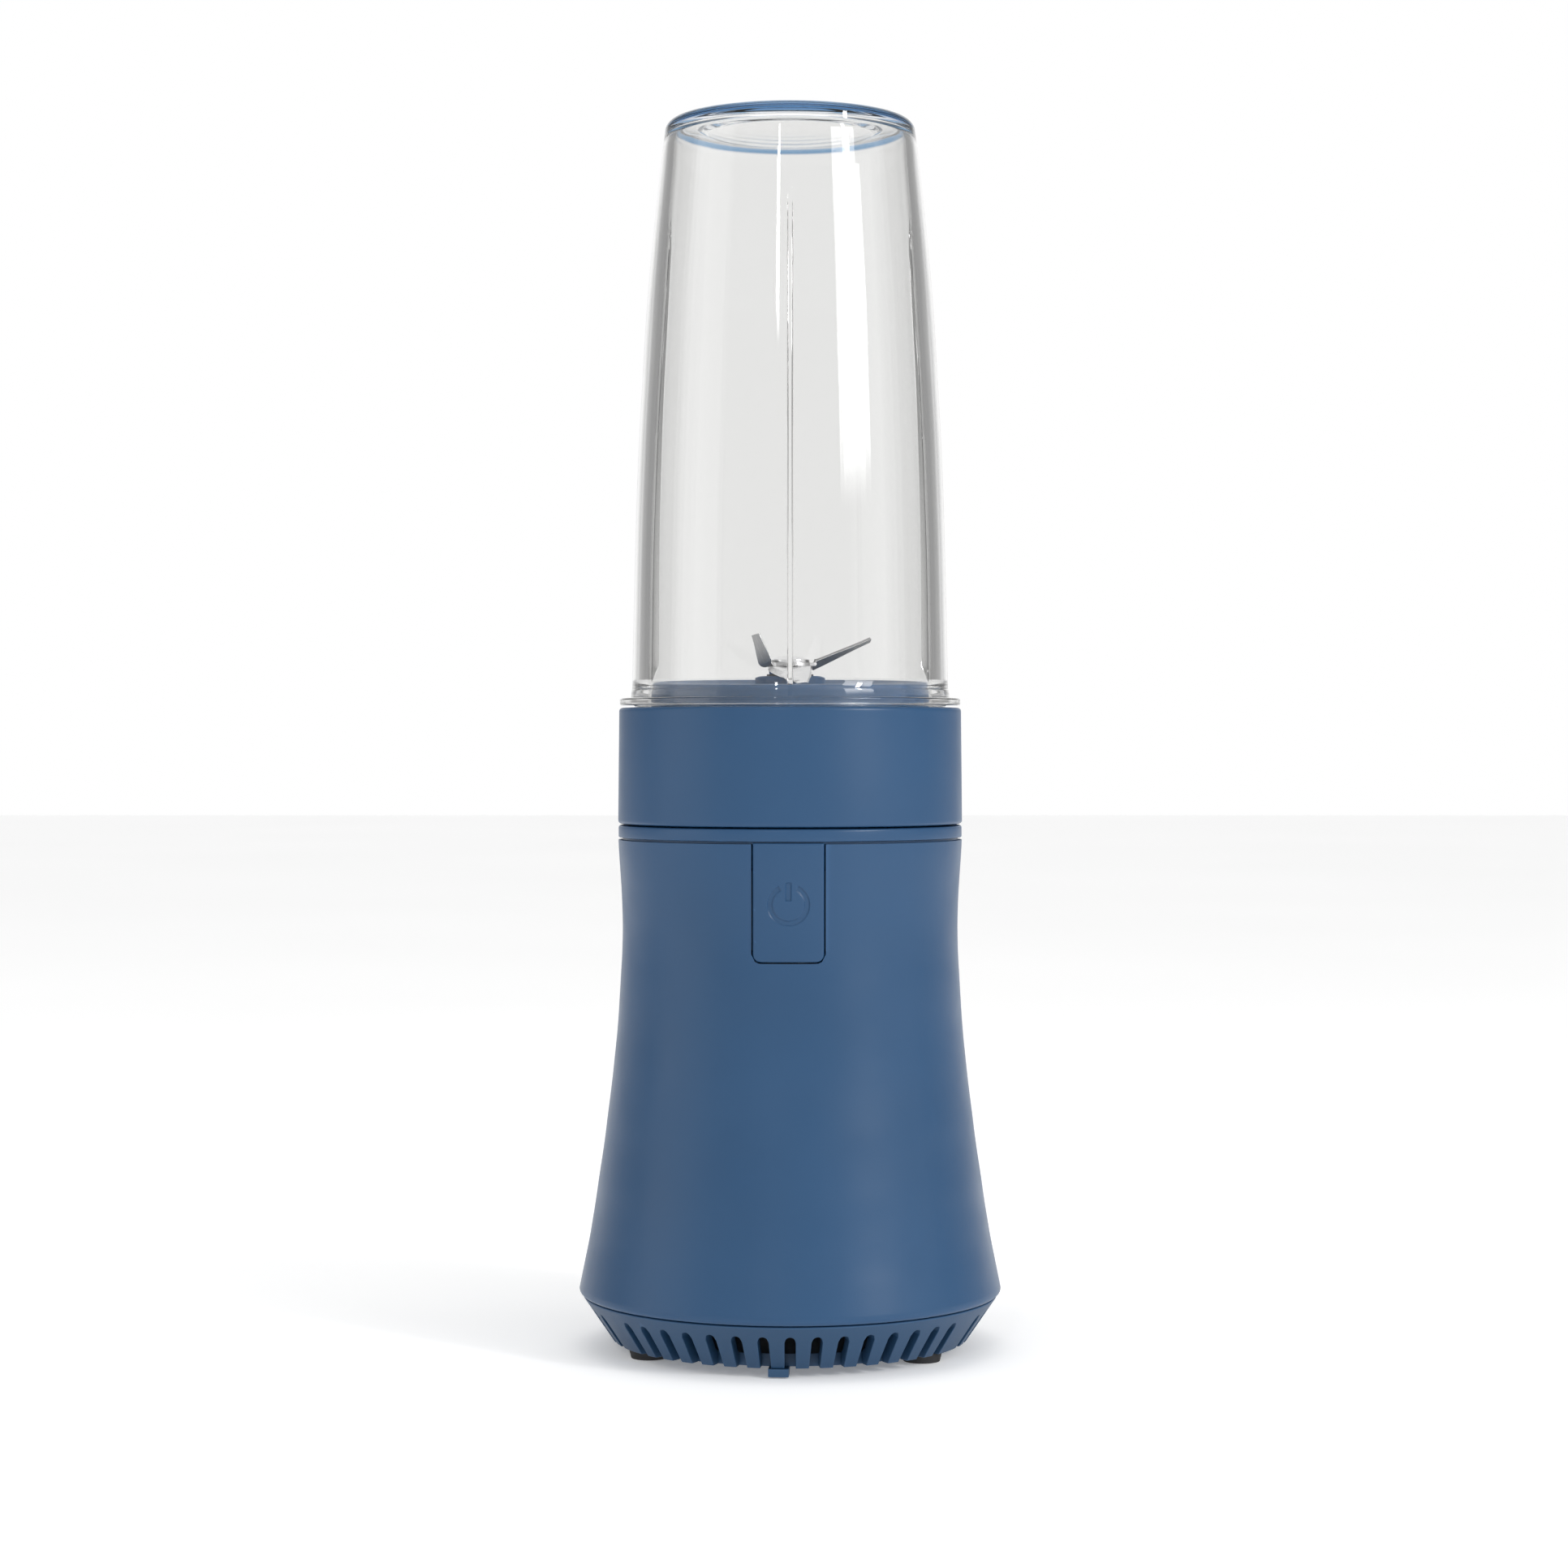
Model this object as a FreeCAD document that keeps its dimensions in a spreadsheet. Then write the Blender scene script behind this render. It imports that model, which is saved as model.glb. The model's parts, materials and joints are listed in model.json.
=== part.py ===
"""Personal blender: clear inverted cup on a threaded blade unit over a motor base.

Frame: millimetres, +Z up, origin on the axis at the bottom of the feet, front towards -Y.
"""
import FreeCAD, Part
import math
import os
import re
import Sketcher

V = FreeCAD.Vector

SIZES = {
    # motor housing: waisted tube that flares to the base
    "housing_bottom": 14.0,
    "flare_height": 15.2,
    "flare_radius": 53.97,
    "shoulder_height": 95.4,
    "shoulder_radius": 43.4,
    "housing_top": 129.8,
    "housing_top_radius": 44.05,
    "waist_arc": 174.0,
    "flare_arc": 799.0,
    "housing_wall": 2.4,
    "ledge_radius": 35.5,
    "ledge_height": 96.0,
    "ledge_thickness": 3.0,
    # ring and well that carry the blade unit
    "ring_bottom": 130.4,
    "ring_top": 133.5,
    "ring_radius": 44.0,
    "groove_radius": 43.2,
    "well_floor": 127.0,
    "well_radius": 37.4,
    "spigot_radius": 40.2,
    "spigot_top": 146.7,
    "cap_bottom": 124.0,
    "cap_skirt_radius": 40.5,
    "well_bore": 12.0,
    # blade unit
    "collar_bottom": 133.9,
    "collar_top": 163.5,
    "collar_low_radius": 44.1,
    "collar_high_radius": 43.85,
    "collar_edge": 0.6,
    "thread_bore": 41.3,
    "socket_bore": 41.6,
    "web_bottom": 147.0,
    "web_top": 149.5,
    "plug_radius": 35.6,
    "plug_top": 168.5,
    "dish_floor": 160.0,
    "boss_radius": 9.0,
    "boss_top": 171.5,
    "boss_bottom": 143.0,
    "sleeve_radius": 6.2,
    "sleeve_bore": 4.8,
    "blade_shaft_radius": 3.0,
    "blade_shaft_low": 136.1,
    "blade_shaft_high": 175.6,
    "lower_blade_height": 173.12,
    "upper_blade_height": 174.04,
    "blade_thickness": 0.9,
    "blade_hub": 5.9,
    "lower_bend_radius": 5.2,
    "upper_bend_radius": 6.2,
    "nut_low": 174.96,
    "nut_high": 176.6,
    "nut_radius": 5.0,
    "thread_lead": 12.0,
    "thread_height": 1.0,
    "thread_root": 1.6,
    "thread_crest": 0.9,
    # cup
    "cup_mouth": 151.5,
    "neck_radius": 39.9,
    "mouth_bore": 36.5,
    "flange_bottom": 164.1,
    "flange_top": 165.9,
    "flange_radius": 43.7,
    "side_bottom": 168.5,
    "side_low_radius": 40.6,
    "side_top": 311.2,
    "side_high_radius": 32.1,
    "side_arc": 1328.0,
    "cup_top": 313.9,
    "cup_corner": 2.75,
    "inner_top": 307.5,
    "inner_high_radius": 29.6,
    "inner_middle": 240.0,
    "inner_middle_radius": 34.6,
    "crown_height": 310.8,
    "punt_radius": 22.0,
    "punt_height": 310.0,
    "rib_width": 1.3,
    "rib_bottom": 170.0,
    "rib_top": 290.0,
    # motor
    "shaft_radius": 4.0,
    "shaft_bottom": 15.0,
    "shaft_top": 132.3,
    "running_gap": 0.04,
    "press_fit": 0.02,
    "coil_inner": 20.0,
    "coil_outer": 28.0,
    "coil_height": 6.0,
    "end_turn_inner": 5.5,
    "end_turn_outer": 15.0,
    "end_turn_height": 5.0,
    "winding_gap": 0.3,
    "commutator_radius": 11.0,
    "commutator_bottom": 38.5,
    "commutator_top": 48.5,
    "fan_bottom": 18.0,
    "fan_top": 27.0,
    "fan_radius": 26.0,
    "fan_disc": 1.6,
    "fan_hub_radius": 9.0,
    "brush_height": 43.5,
    "brush_half": 2.5,
    "brush_length": 7.0,
    "stack_bottom": 56.0,
    "stack_top": 86.0,
    "armature_radius": 17.2,
    "stator_bore": 17.9,
    "stator_radius": 30.0,
    "bearing_radius": 11.0,
    "bearing_width": 7.0,
    "race": 1.6,
    "shield_depth": 0.5,
    "upper_bearing_bottom": 100.0,
    "lower_bearing_bottom": 30.0,
    "bracket_radius": 37.0,
    "bracket_thickness": 3.0,
    "screw_circle": 33.0,
    # couplings
    "socket_low": 127.6,
    "socket_high": 141.0,
    "socket_floor": 132.4,
    "socket_inner": 9.4,
    "socket_outer": 13.0,
    "driven_low": 133.0,
    "driven_outer": 8.9,
    "driven_pocket": 136.05,
    # button and switch
    "button_low": 100.9,
    "button_high": 130.1,
    "button_angle": 23.4,
    "button_shift": 0.4,
    "button_gap": 0.3,
    "button_thickness": 2.6,
    "button_axis_height": 115.0,
    "button_half": 9.1,
    "core_half": 7.5,
    "core_depth": 4.5,
    "flange_half": 10.8,
    "flange_place": 37.1,
    "stem_radius": 3.5,
    "stem_length": 5.6,
    "spring_outer": 5.6,
    "spring_inner": 4.6,
    "spring_length": 6.7,
    "switch_half_width": 10.0,
    "switch_half_height": 7.0,
    "switch_depth": 10.0,
    "switch_back": 20.0,
    "plunger_radius": 1.6,
    "plunger_length": 7.5,
    "switch_screw_drop": 4.5,
    "switch_screw_depth": 23.0,
    "switch_screw_radius": 1.2,
    # underside
    "skirt_top": 13.8,
    "skirt_top_radius": 53.0,
    "skirt_bottom": 2.4,
    "skirt_bottom_radius": 45.5,
    "skirt_wall": 4.0,
    "lip_radius": 50.7,
    "lip_wall": 1.3,
    "slot_width": 2.7,
    "slot_high": 11.0,
    "slot_pitch": 7.5,
    "slots_in_row": 15.0,
    "plate_radius": 42.4,
    "plate_bottom": 2.4,
    "plate_top": 5.5,
    "plate_clearance": 0.5,
    "foot_circle": 39.5,
    "foot_radius": 5.2,
    "screw_place": 32.0,
    "foot_clocking": 3.6,
    "gland_height": 24.0,
    "gland_radius": 5.0,
    "gland_bore": 3.6,
}

doc = FreeCAD.newDocument("PersonalBlender")
sheet = doc.addObject("Spreadsheet::Sheet", "Sizes")
for row, (name, number) in enumerate(SIZES.items(), start=1):
    sheet.set(f"A{row}", name)
    sheet.set(f"B{row}", str(number))
    sheet.setAlias(f"B{row}", name)
doc.recompute()
parts = []


def formula(text):
    """Names of the sheet's cells, as other objects write them."""
    return re.sub(r"[a-z_]+", lambda word: "Sizes." + word.group() if word.group() in SIZES else word.group(),
                  str(text))


def value(text):
    """The number that a formula gives now."""
    result = sheet.evalExpression(str(text))
    return float(getattr(result, "Value", result))


def new_body(label):
    """An empty body whose label names its file."""
    body = doc.addObject("PartDesign::Body", label)
    body.Label = label
    parts.append(body)
    return body


def new_sketch(body, role, name, offset=None):
    """A sketch on one of the body's own origin planes, moved along the plane's normal if asked."""
    sketch = body.newObject("Sketcher::SketchObject", f"{body.Name}_{name}")
    plane = next(item for item in body.Origin.OriginFeatures if item.Role == role)
    sketch.AttachmentSupport = [(plane, "")]
    sketch.MapMode = "FlatFace"
    if offset is not None:
        sketch.setExpression("AttachmentOffset.Base.z", formula(offset))
    return sketch


def arc_between(start, end, radius, turn):
    """The short arc of this radius that turns left or right on its way from start to end."""
    along = end - start
    left = V(-along.y, along.x, 0).normalize()
    towards_centre = left if turn == "left" else left * -1
    rise = math.sqrt(radius * radius - along.Length * along.Length / 4)
    centre = (start + end) * 0.5 + towards_centre * rise
    return Part.Arc(start, centre - towards_centre * radius, end)


def closed_outline(sketch, corners):
    """A closed outline: each corner is (across, up), or (across, up, radius, turn) before an arc."""
    spots = [V(value(corner[0]), value(corner[1]), 0) for corner in corners]
    edges = len(corners)
    for index, corner in enumerate(corners):
        start, end = spots[index], spots[(index + 1) % edges]
        if len(corner) == 4:
            sketch.addGeometry(arc_between(start, end, value(corner[2]), corner[3]), False)
        else:
            sketch.addGeometry(Part.LineSegment(start, end), False)

    def ends(index):
        return (2, 1) if corners[index][-1] == "right" else (1, 2)

    for index in range(edges):
        following = (index + 1) % edges
        sketch.addConstraint(
            Sketcher.Constraint("Coincident", index, ends(index)[1], following, ends(following)[0]))
    for index, corner in enumerate(corners):
        for kind, text, number in (("DistanceX", corner[0], spots[index].x),
                                   ("DistanceY", corner[1], spots[index].y)):
            row = sketch.addConstraint(Sketcher.Constraint(kind, -1, 1, index, ends(index)[0], number))
            sketch.setExpression(f"Constraints[{row}]", formula(text))
        if len(corner) == 4:
            row = sketch.addConstraint(Sketcher.Constraint("Radius", index, value(corner[2])))
            sketch.setExpression(f"Constraints[{row}]", formula(corner[2]))


def circle(sketch, across, up, radius):
    """One circle whose centre and radius follow the sheet."""
    index = sketch.addGeometry(Part.Circle(V(value(across), value(up), 0), V(0, 0, 1), value(radius)), False)
    for kind, text in (("DistanceX", across), ("DistanceY", up)):
        row = sketch.addConstraint(Sketcher.Constraint(kind, -1, 1, index, 3, value(text)))
        sketch.setExpression(f"Constraints[{row}]", formula(text))
    row = sketch.addConstraint(Sketcher.Constraint("Radius", index, value(radius)))
    sketch.setExpression(f"Constraints[{row}]", formula(radius))


def revolve(body, corners, angle=None):
    """A revolution about the Z axis of an outline given as (radius, height)."""
    sketch = new_sketch(body, "XZ_Plane", "section")
    closed_outline(sketch, corners)
    turned = body.newObject("PartDesign::Revolution", f"{body.Name}_turned")
    turned.Profile = sketch
    turned.ReferenceAxis = (sketch, ["V_Axis"])
    turned.Angle = 360
    if angle is not None:
        turned.setExpression("Angle", formula(angle))
        turned.Midplane = True
    doc.recompute()
    return turned


def extrude(body, role, name, draw, length, offset=None, cut=False, reverse=False, middle=False):
    """A pad, or a pocket where cut is true, of what draw puts in a new sketch."""
    sketch = new_sketch(body, role, name, offset)
    draw(sketch)
    kind = "Pocket" if cut else "Pad"
    before = body.Shape.Volume if cut else 0
    feature = body.newObject(f"PartDesign::{kind}", f"{body.Name}_{name}_{kind.lower()}")
    feature.Profile = sketch
    feature.setExpression("Length", formula(length))
    feature.Reversed = reverse
    feature.Midplane = middle
    doc.recompute()
    if cut and not body.Shape.Volume < before - 0.01:
        raise RuntimeError(f"{feature.Name} cuts nothing")
    return feature


def around(body, feature, count, angle=360):
    """Repeats a feature about the Z axis."""
    pattern = body.newObject("PartDesign::PolarPattern", f"{feature.Name}_row")
    pattern.Originals = [feature]
    pattern.Axis = (feature.Profile[0], ["V_Axis"])
    if feature.Profile[0].AttachmentSupport[0][0].Role == "XY_Plane":
        pattern.Axis = (feature.Profile[0], ["N_Axis"])
    pattern.Angle = angle
    pattern.Occurrences = count
    body.Tip = pattern
    doc.recompute()
    return pattern


def rectangle(left, low, right, high):
    """Draws a rectangle from four formulas."""
    return lambda sketch: closed_outline(sketch, [(left, low), (right, low), (right, high), (left, high)])


def turned_piece(label, corners):
    """A body that is a single revolution."""
    body = new_body(label)
    revolve(body, corners)
    return body


def ring(label, inner, outer, low, high):
    """A plain turned ring."""
    return turned_piece(label, [(inner, low), (outer, low), (outer, high), (inner, high)])


def group(label, shapes):
    """Several loose solids in one node."""
    feature = doc.addObject("Part::Feature", label)
    feature.Label = label
    feature.Shape = Part.makeCompound(shapes) if len(shapes) > 1 else shapes[0]
    feature.Placement = FreeCAD.Placement()
    parts.append(feature)
    return feature


def on_circle(radius, count, start=0.0):
    """Points at equal steps about the axis, the first at start degrees from +X."""
    turns = [math.radians(start + 360.0 * step / count) for step in range(count)]
    return [V(radius * math.cos(turn), radius * math.sin(turn), 0) for turn in turns]


# ---------------------------------------------------------------- motor housing and its top
def motor_housing():
    body = new_body("motor_housing")
    inner_top = "housing_top_radius - housing_wall"
    inner_shoulder = "shoulder_radius - housing_wall"
    revolve(body, [
        ("flare_radius - 0.6", "housing_bottom"),
        ("flare_radius", "flare_height", "flare_arc", "right"),
        ("shoulder_radius", "shoulder_height", "waist_arc", "right"),
        ("housing_top_radius", "housing_top"),
        (inner_top, "housing_top", "waist_arc + housing_wall", "left"),
        (inner_shoulder + " + 0.02", "ledge_height + ledge_thickness"),
        ("ledge_radius", "ledge_height + ledge_thickness"),
        ("ledge_radius", "ledge_height"),
        (inner_shoulder, "ledge_height", "flare_arc + housing_wall", "left"),
        ("flare_radius - housing_wall", "flare_height"),
        ("flare_radius - housing_wall", "housing_bottom"),
    ])
    extrude(body, "XZ_Plane", "window",
            rectangle("button_half * -1 - button_shift", "button_low - button_gap",
                      "button_half - button_shift", "housing_top + 1"),
            60, cut=True, reverse=True)
    extrude(body, "XZ_Plane", "cord_hole",
            lambda sketch: circle(sketch, 0, "gland_height", "gland_radius + 0.05"), 60, cut=True)
    return body


def well_cap():
    body = new_body("well_cap")
    revolve(body, [
        ("well_bore", "cap_bottom"),
        ("cap_skirt_radius", "cap_bottom"),
        ("cap_skirt_radius", "housing_top + 0.05"),
        ("groove_radius", "housing_top + 0.05"),
        ("groove_radius", "ring_bottom"),
        ("ring_radius", "ring_bottom"),
        ("ring_radius", "ring_top"),
        ("spigot_radius", "ring_top"),
        ("spigot_radius", "spigot_top"),
        ("well_radius", "spigot_top"),
        ("well_radius", "well_floor"),
        ("well_bore", "well_floor"),
    ])
    extrude(body, "XZ_Plane", "button_room",
            rectangle("-12 - button_shift", "cap_bottom - 1", "12 - button_shift", "ring_bottom"),
            20, offset="35.5", cut=True, reverse=True)
    return body


def place(body, turn="0", rise="0", across="0", back="0"):
    """Turns a body about Z by a formula in degrees and moves it."""
    body.Placement = FreeCAD.Placement(V(0, 0, 0), FreeCAD.Rotation(V(0, 0, 1), 1))
    body.setExpression("Placement.Rotation.Angle", formula(turn))
    body.setExpression("Placement.Base.x", formula(across))
    body.setExpression("Placement.Base.y", formula(back))
    body.setExpression("Placement.Base.z", formula(rise))
    doc.recompute()
    return body


def power_button():
    """Curved key with a stem and a flange behind the housing; modelled facing +X, then turned."""
    body = new_body("power_button")
    back = "housing_top_radius - button_thickness"
    revolve(body, [
        ("shoulder_radius - 0.25", "button_low", "waist_arc", "right"),
        ("housing_top_radius - 0.05", "button_high"),
        (back, "button_high", "waist_arc + button_thickness", "left"),
        ("shoulder_radius - button_thickness - 0.25", "button_low"),
    ], angle="button_angle")
    extrude(body, "YZ_Plane", "core",
            rectangle("core_half * -1", "button_low + 3", "core_half", "cap_bottom - 1"),
            "core_depth", offset="flange_place")
    extrude(body, "YZ_Plane", "flange",
            rectangle("flange_half * -1", "button_low + 3", "flange_half", "cap_bottom - 1"),
            1, offset="flange_place")
    extrude(body, "YZ_Plane", "stem", lambda sketch: circle(sketch, 0, "button_axis_height", "stem_radius"),
            "stem_length", offset="flange_place - 4")
    return place(body, turn="-90", across="button_shift * -1")


def button_spring():
    """Coil spring around the button's stem, as the tube that it fills."""
    axis_height = value("button_axis_height")
    shift = -value("button_shift")
    length = value("spring_length")
    start = V(shift, -value("flange_place - 0.1"), axis_height)
    outer = Part.makeCylinder(value("spring_outer"), length, start, V(0, 1, 0))
    inner = Part.makeCylinder(value("spring_inner"), length, start, V(0, 1, 0))
    return group("button_spring", [outer.cut(inner)])


# ---------------------------------------------------------------- switch
def switch_body():
    body = new_body("switch_body")
    extrude(body, "XZ_Plane", "case",
            rectangle("switch_half_width * -1 - button_shift", "button_axis_height - switch_half_height",
                      "switch_half_width - button_shift", "button_axis_height + switch_half_height"),
            "switch_depth", offset="switch_back")
    extrude(body, "XZ_Plane", "plunger_bore",
            lambda sketch: circle(sketch, "button_shift * -1", "button_axis_height", "plunger_radius + 0.05"),
            "plunger_length + 0.5", offset="switch_back + switch_depth + 0.1", cut=True)
    extrude(body, "YZ_Plane", "screw_holes",
            lambda sketch: circle(sketch, "switch_screw_depth * -1", "button_axis_height - switch_screw_drop",
                                  "switch_screw_radius + 0.1"), 30, cut=True, middle=True)
    return body


def switch_plunger():
    body = new_body("switch_plunger")
    extrude(body, "XZ_Plane", "pin",
            lambda sketch: circle(sketch, "button_shift * -1", "button_axis_height", "plunger_radius"),
            "plunger_length", offset="25.5")
    return body


def switch_bracket():
    """Angle plate that stands on the upper motor bracket and holds the switch by its back."""
    body = new_body("switch_bracket")
    extrude(body, "YZ_Plane", "angle", lambda sketch: closed_outline(sketch, [
        (-19.9, "upper_bearing_bottom + 2.1"),
        (-14.5, "upper_bearing_bottom + 2.1"),
        (-14.5, "upper_bearing_bottom + 3.3"),
        (-18.7, "upper_bearing_bottom + 3.3"),
        (-18.7, "button_axis_height + 7"),
        (-19.9, "button_axis_height + 7"),
    ]), 22, middle=True)
    return body


def switch_screws():
    """Two cross screws through the switch case."""
    height = value("button_axis_height - switch_screw_drop")
    depth = -value("switch_screw_depth")
    radius = value("switch_screw_radius")
    shift = -value("button_shift")
    seat = value("switch_half_width") + 0.02
    screws = []
    for side in (-1, 1):
        inner_end = V(shift + side * (seat - 8.5), depth, height)
        shank = Part.makeCylinder(radius, 8.8, inner_end, V(side, 0, 0))
        head = Part.makeCylinder(2 * radius, 1.4, V(shift + side * seat, depth, height), V(side, 0, 0))
        screws.append(shank.fuse(head))
    return group("switch_screws", screws)


# ---------------------------------------------------------------- motor
def stator_core():
    """Laminated ring with two flats and slots for the bracket screws."""
    body = turned_piece("stator_core", [
        ("stator_bore", "stack_bottom"), ("stator_radius", "stack_bottom"),
        ("stator_radius", "stack_top"), ("stator_bore", "stack_top")])
    flat = extrude(body, "XY_Plane", "flat", rectangle(-20, "stator_radius - 2.5", 20, "stator_radius + 1"),
                   "stack_top + 1", cut=True, reverse=True)
    around(body, flat, 2)
    return body


def field_coils():
    """Two field windings, each seen as a crescent above and below the laminations."""
    low = value("stack_bottom")
    high = value("stack_top")
    inner = value("coil_inner")
    outer = value("coil_outer")
    tall = value("coil_height")
    coils = []
    for turn in (-70, 110):
        for height in (low - value("coil_height + winding_gap"), high + value("winding_gap")):
            outline = [V(inner, 0, height), V(outer, 0, height), V(outer, 0, height + tall),
                       V(inner, 0, height + tall)]
            face = Part.Face(Part.makePolygon(outline + outline[:1]))
            face.rotate(V(0, 0, 0), V(0, 0, 1), turn)
            coils.append(face.revolve(V(0, 0, 0), V(0, 0, 1), 140))
    return group("field_coils", coils)


def armature_core():
    """Slotted laminations on the motor shaft."""
    body = ring("armature_core", "shaft_radius + press_fit", "armature_radius", "stack_bottom", "stack_top")
    slot = extrude(body, "XY_Plane", "slot",
                   rectangle("armature_radius - 5", -0.9, "armature_radius + 1", 0.9),
                   "stack_top + 1", cut=True, reverse=True)
    around(body, slot, 12)
    return body


def armature_winding():
    """The two end turns of the copper winding."""
    tall = value("end_turn_height")
    rings = []
    for low in ("stack_bottom - winding_gap - end_turn_height", "stack_top + winding_gap"):
        outer = Part.makeCylinder(value("end_turn_outer"), tall, V(0, 0, value(low)))
        inner = Part.makeCylinder(value("end_turn_inner"), tall, V(0, 0, value(low)))
        rings.append(outer.cut(inner))
    return group("armature_winding", rings)


def commutator():
    """Copper bars on a hub, parted by narrow gaps."""
    body = ring("commutator", "shaft_radius + press_fit", "commutator_radius", "commutator_bottom",
                "commutator_top")
    slot = extrude(body, "XY_Plane", "bar_gap",
                   rectangle("commutator_radius - 1.5", -0.25, "commutator_radius + 1", 0.25),
                   "commutator_top + 0.5", cut=True, reverse=True)
    around(body, slot, 24)
    return body


def cooling_fan():
    """Centrifugal fan under the motor: a disc with straight vanes."""
    body = turned_piece("cooling_fan", [
        ("shaft_radius + press_fit", "fan_bottom"),
        ("fan_radius", "fan_bottom"),
        ("fan_radius", "fan_bottom + fan_disc"),
        ("fan_hub_radius", "fan_bottom + fan_disc"),
        ("fan_hub_radius", "fan_top"),
        ("shaft_radius + press_fit", "fan_top"),
    ])
    vane = extrude(body, "XY_Plane", "vane",
                   rectangle("fan_hub_radius - 0.5", -0.7, "fan_radius - 0.5", 0.7),
                   "fan_top - fan_bottom - fan_disc - 0.4", offset="fan_bottom + fan_disc - 0.4")
    around(body, vane, 12)
    return body


def motor_bracket(label, low, bearing_low):
    """Disc with a bearing pocket, four screw holes and open windows."""
    body = turned_piece(label, [
        ("bearing_radius + press_fit", bearing_low),
        ("bearing_radius + 3", bearing_low),
        ("bearing_radius + 3", low),
        ("bracket_radius", low),
        ("bracket_radius", f"{low} + bracket_thickness"),
        ("bearing_radius + 3", f"{low} + bracket_thickness"),
        ("bearing_radius + 3", f"{bearing_low} + bearing_width"),
        ("bearing_radius + press_fit", f"{bearing_low} + bearing_width"),
    ])
    hole = extrude(body, "XY_Plane", "screw_hole", lambda sketch: circle(sketch, "screw_circle", 0, 2.1),
                   140, cut=True, reverse=True)
    around(body, hole, 4)
    return body


def bearing(label, low):
    """Shielded ball bearing, closed, with a running bore for the shaft."""
    high = f"{low} + bearing_width"
    return turned_piece(label, [
        ("shaft_radius + running_gap", low),
        ("shaft_radius + race", low),
        ("shaft_radius + race", f"{low} + shield_depth"),
        ("bearing_radius - race", f"{low} + shield_depth"),
        ("bearing_radius - race", low),
        ("bearing_radius", low),
        ("bearing_radius", high),
        ("bearing_radius - race", high),
        ("bearing_radius - race", f"{high} - shield_depth"),
        ("shaft_radius + race", f"{high} - shield_depth"),
        ("shaft_radius + race", high),
        ("shaft_radius + running_gap", high),
    ])


def bracket_screws():
    """Four long screws that clamp the two brackets on the stator."""
    low = value("lower_bearing_bottom") + 1.0
    high = value("upper_bearing_bottom") - 1.0 + value("bracket_thickness")
    screws = []
    for spot in on_circle(value("screw_circle"), 4):
        shank = Part.makeCylinder(1.9, high - low + 0.5, spot + V(0, 0, low - 0.5))
        head = Part.makeCylinder(3.2, 2.2, spot + V(0, 0, low - 2.25))
        screws.append(shank.fuse(head))
    return group("bracket_screws", screws)


def two_sided(shape):
    """The shape and its copy on the other side of the axis."""
    other = shape.copy()
    other.rotate(V(0, 0, 0), V(0, 0, 1), 180)
    return [shape, other]


def brush_holders():
    """Two guide boxes, one on each side of the commutator."""
    middle = value("brush_height")
    channel = value("brush_half") + 0.2
    foot_low = value("lower_bearing_bottom + 1 + bracket_thickness") + 0.02
    outer = Part.makeBox(14, 8, 8, V(12.5, -4, middle - 4))
    inner = Part.makeBox(12.5, 2 * channel, 2 * channel, V(12.4, -channel, middle - channel))
    foot = Part.makeBox(4, 8, 6, V(19, -4, foot_low))
    return group("brush_holders", two_sided(outer.fuse(foot).cut(inner)))


def carbon_brushes():
    """Two carbon blocks in their guides, just off the commutator."""
    half = value("brush_half")
    block = Part.makeBox(value("brush_length"), 2 * half, 2 * half,
                         V(value("commutator_radius") + 0.1, -half, value("brush_height") - half))
    return group("carbon_brushes", two_sided(block))


def brush_springs():
    """The two springs behind the brushes, as the rods that they fill."""
    start = value("commutator_radius + brush_length") + 0.3
    rod = Part.makeCylinder(2, 6.2, V(start, 0, value("brush_height")), V(1, 0, 0))
    return group("brush_springs", two_sided(rod))


def drive_coupling():
    """Socket on the motor shaft with six inner teeth."""
    body = turned_piece("drive_coupling", [
        ("shaft_radius + press_fit", "socket_low"),
        ("socket_outer - 2.5", "socket_low"),
        ("socket_outer", "socket_low + 2.4"),
        ("socket_outer", "socket_high"),
        ("socket_inner", "socket_high"),
        ("socket_inner", "socket_floor"),
        ("shaft_radius + press_fit", "socket_floor"),
    ])
    tooth = extrude(body, "XY_Plane", "tooth",
                    rectangle("socket_inner - 2.2", -1.2, "socket_inner + 0.5", 1.2),
                    "socket_high - socket_floor - 0.2", offset="socket_floor - 0.4")
    around(body, tooth, 6)
    return body


# ---------------------------------------------------------------- blade unit
def thread(body, root, crest, middle, rise):
    """Three threads of one lead: a ridge from the root radius to the crest radius, then two more."""
    sketch = new_sketch(body, "XZ_Plane", "thread")
    closed_outline(sketch, [
        (root, f"{middle} - thread_root / 2"), (crest, f"{middle} - thread_crest / 2"),
        (crest, f"{middle} + thread_crest / 2"), (root, f"{middle} + thread_root / 2")])
    ridge = body.newObject("PartDesign::AdditiveHelix", f"{body.Name}_ridge")
    ridge.Profile = sketch
    ridge.ReferenceAxis = (sketch, ["V_Axis"])
    ridge.Mode = 0
    ridge.setExpression("Pitch", formula("thread_lead"))
    ridge.setExpression("Height", formula(rise))
    doc.recompute()
    pattern = body.newObject("PartDesign::PolarPattern", f"{body.Name}_threads")
    pattern.Originals = [ridge]
    pattern.Axis = (sketch, ["V_Axis"])
    pattern.Angle = 360
    pattern.Occurrences = 3
    body.Tip = pattern
    doc.recompute()


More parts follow.
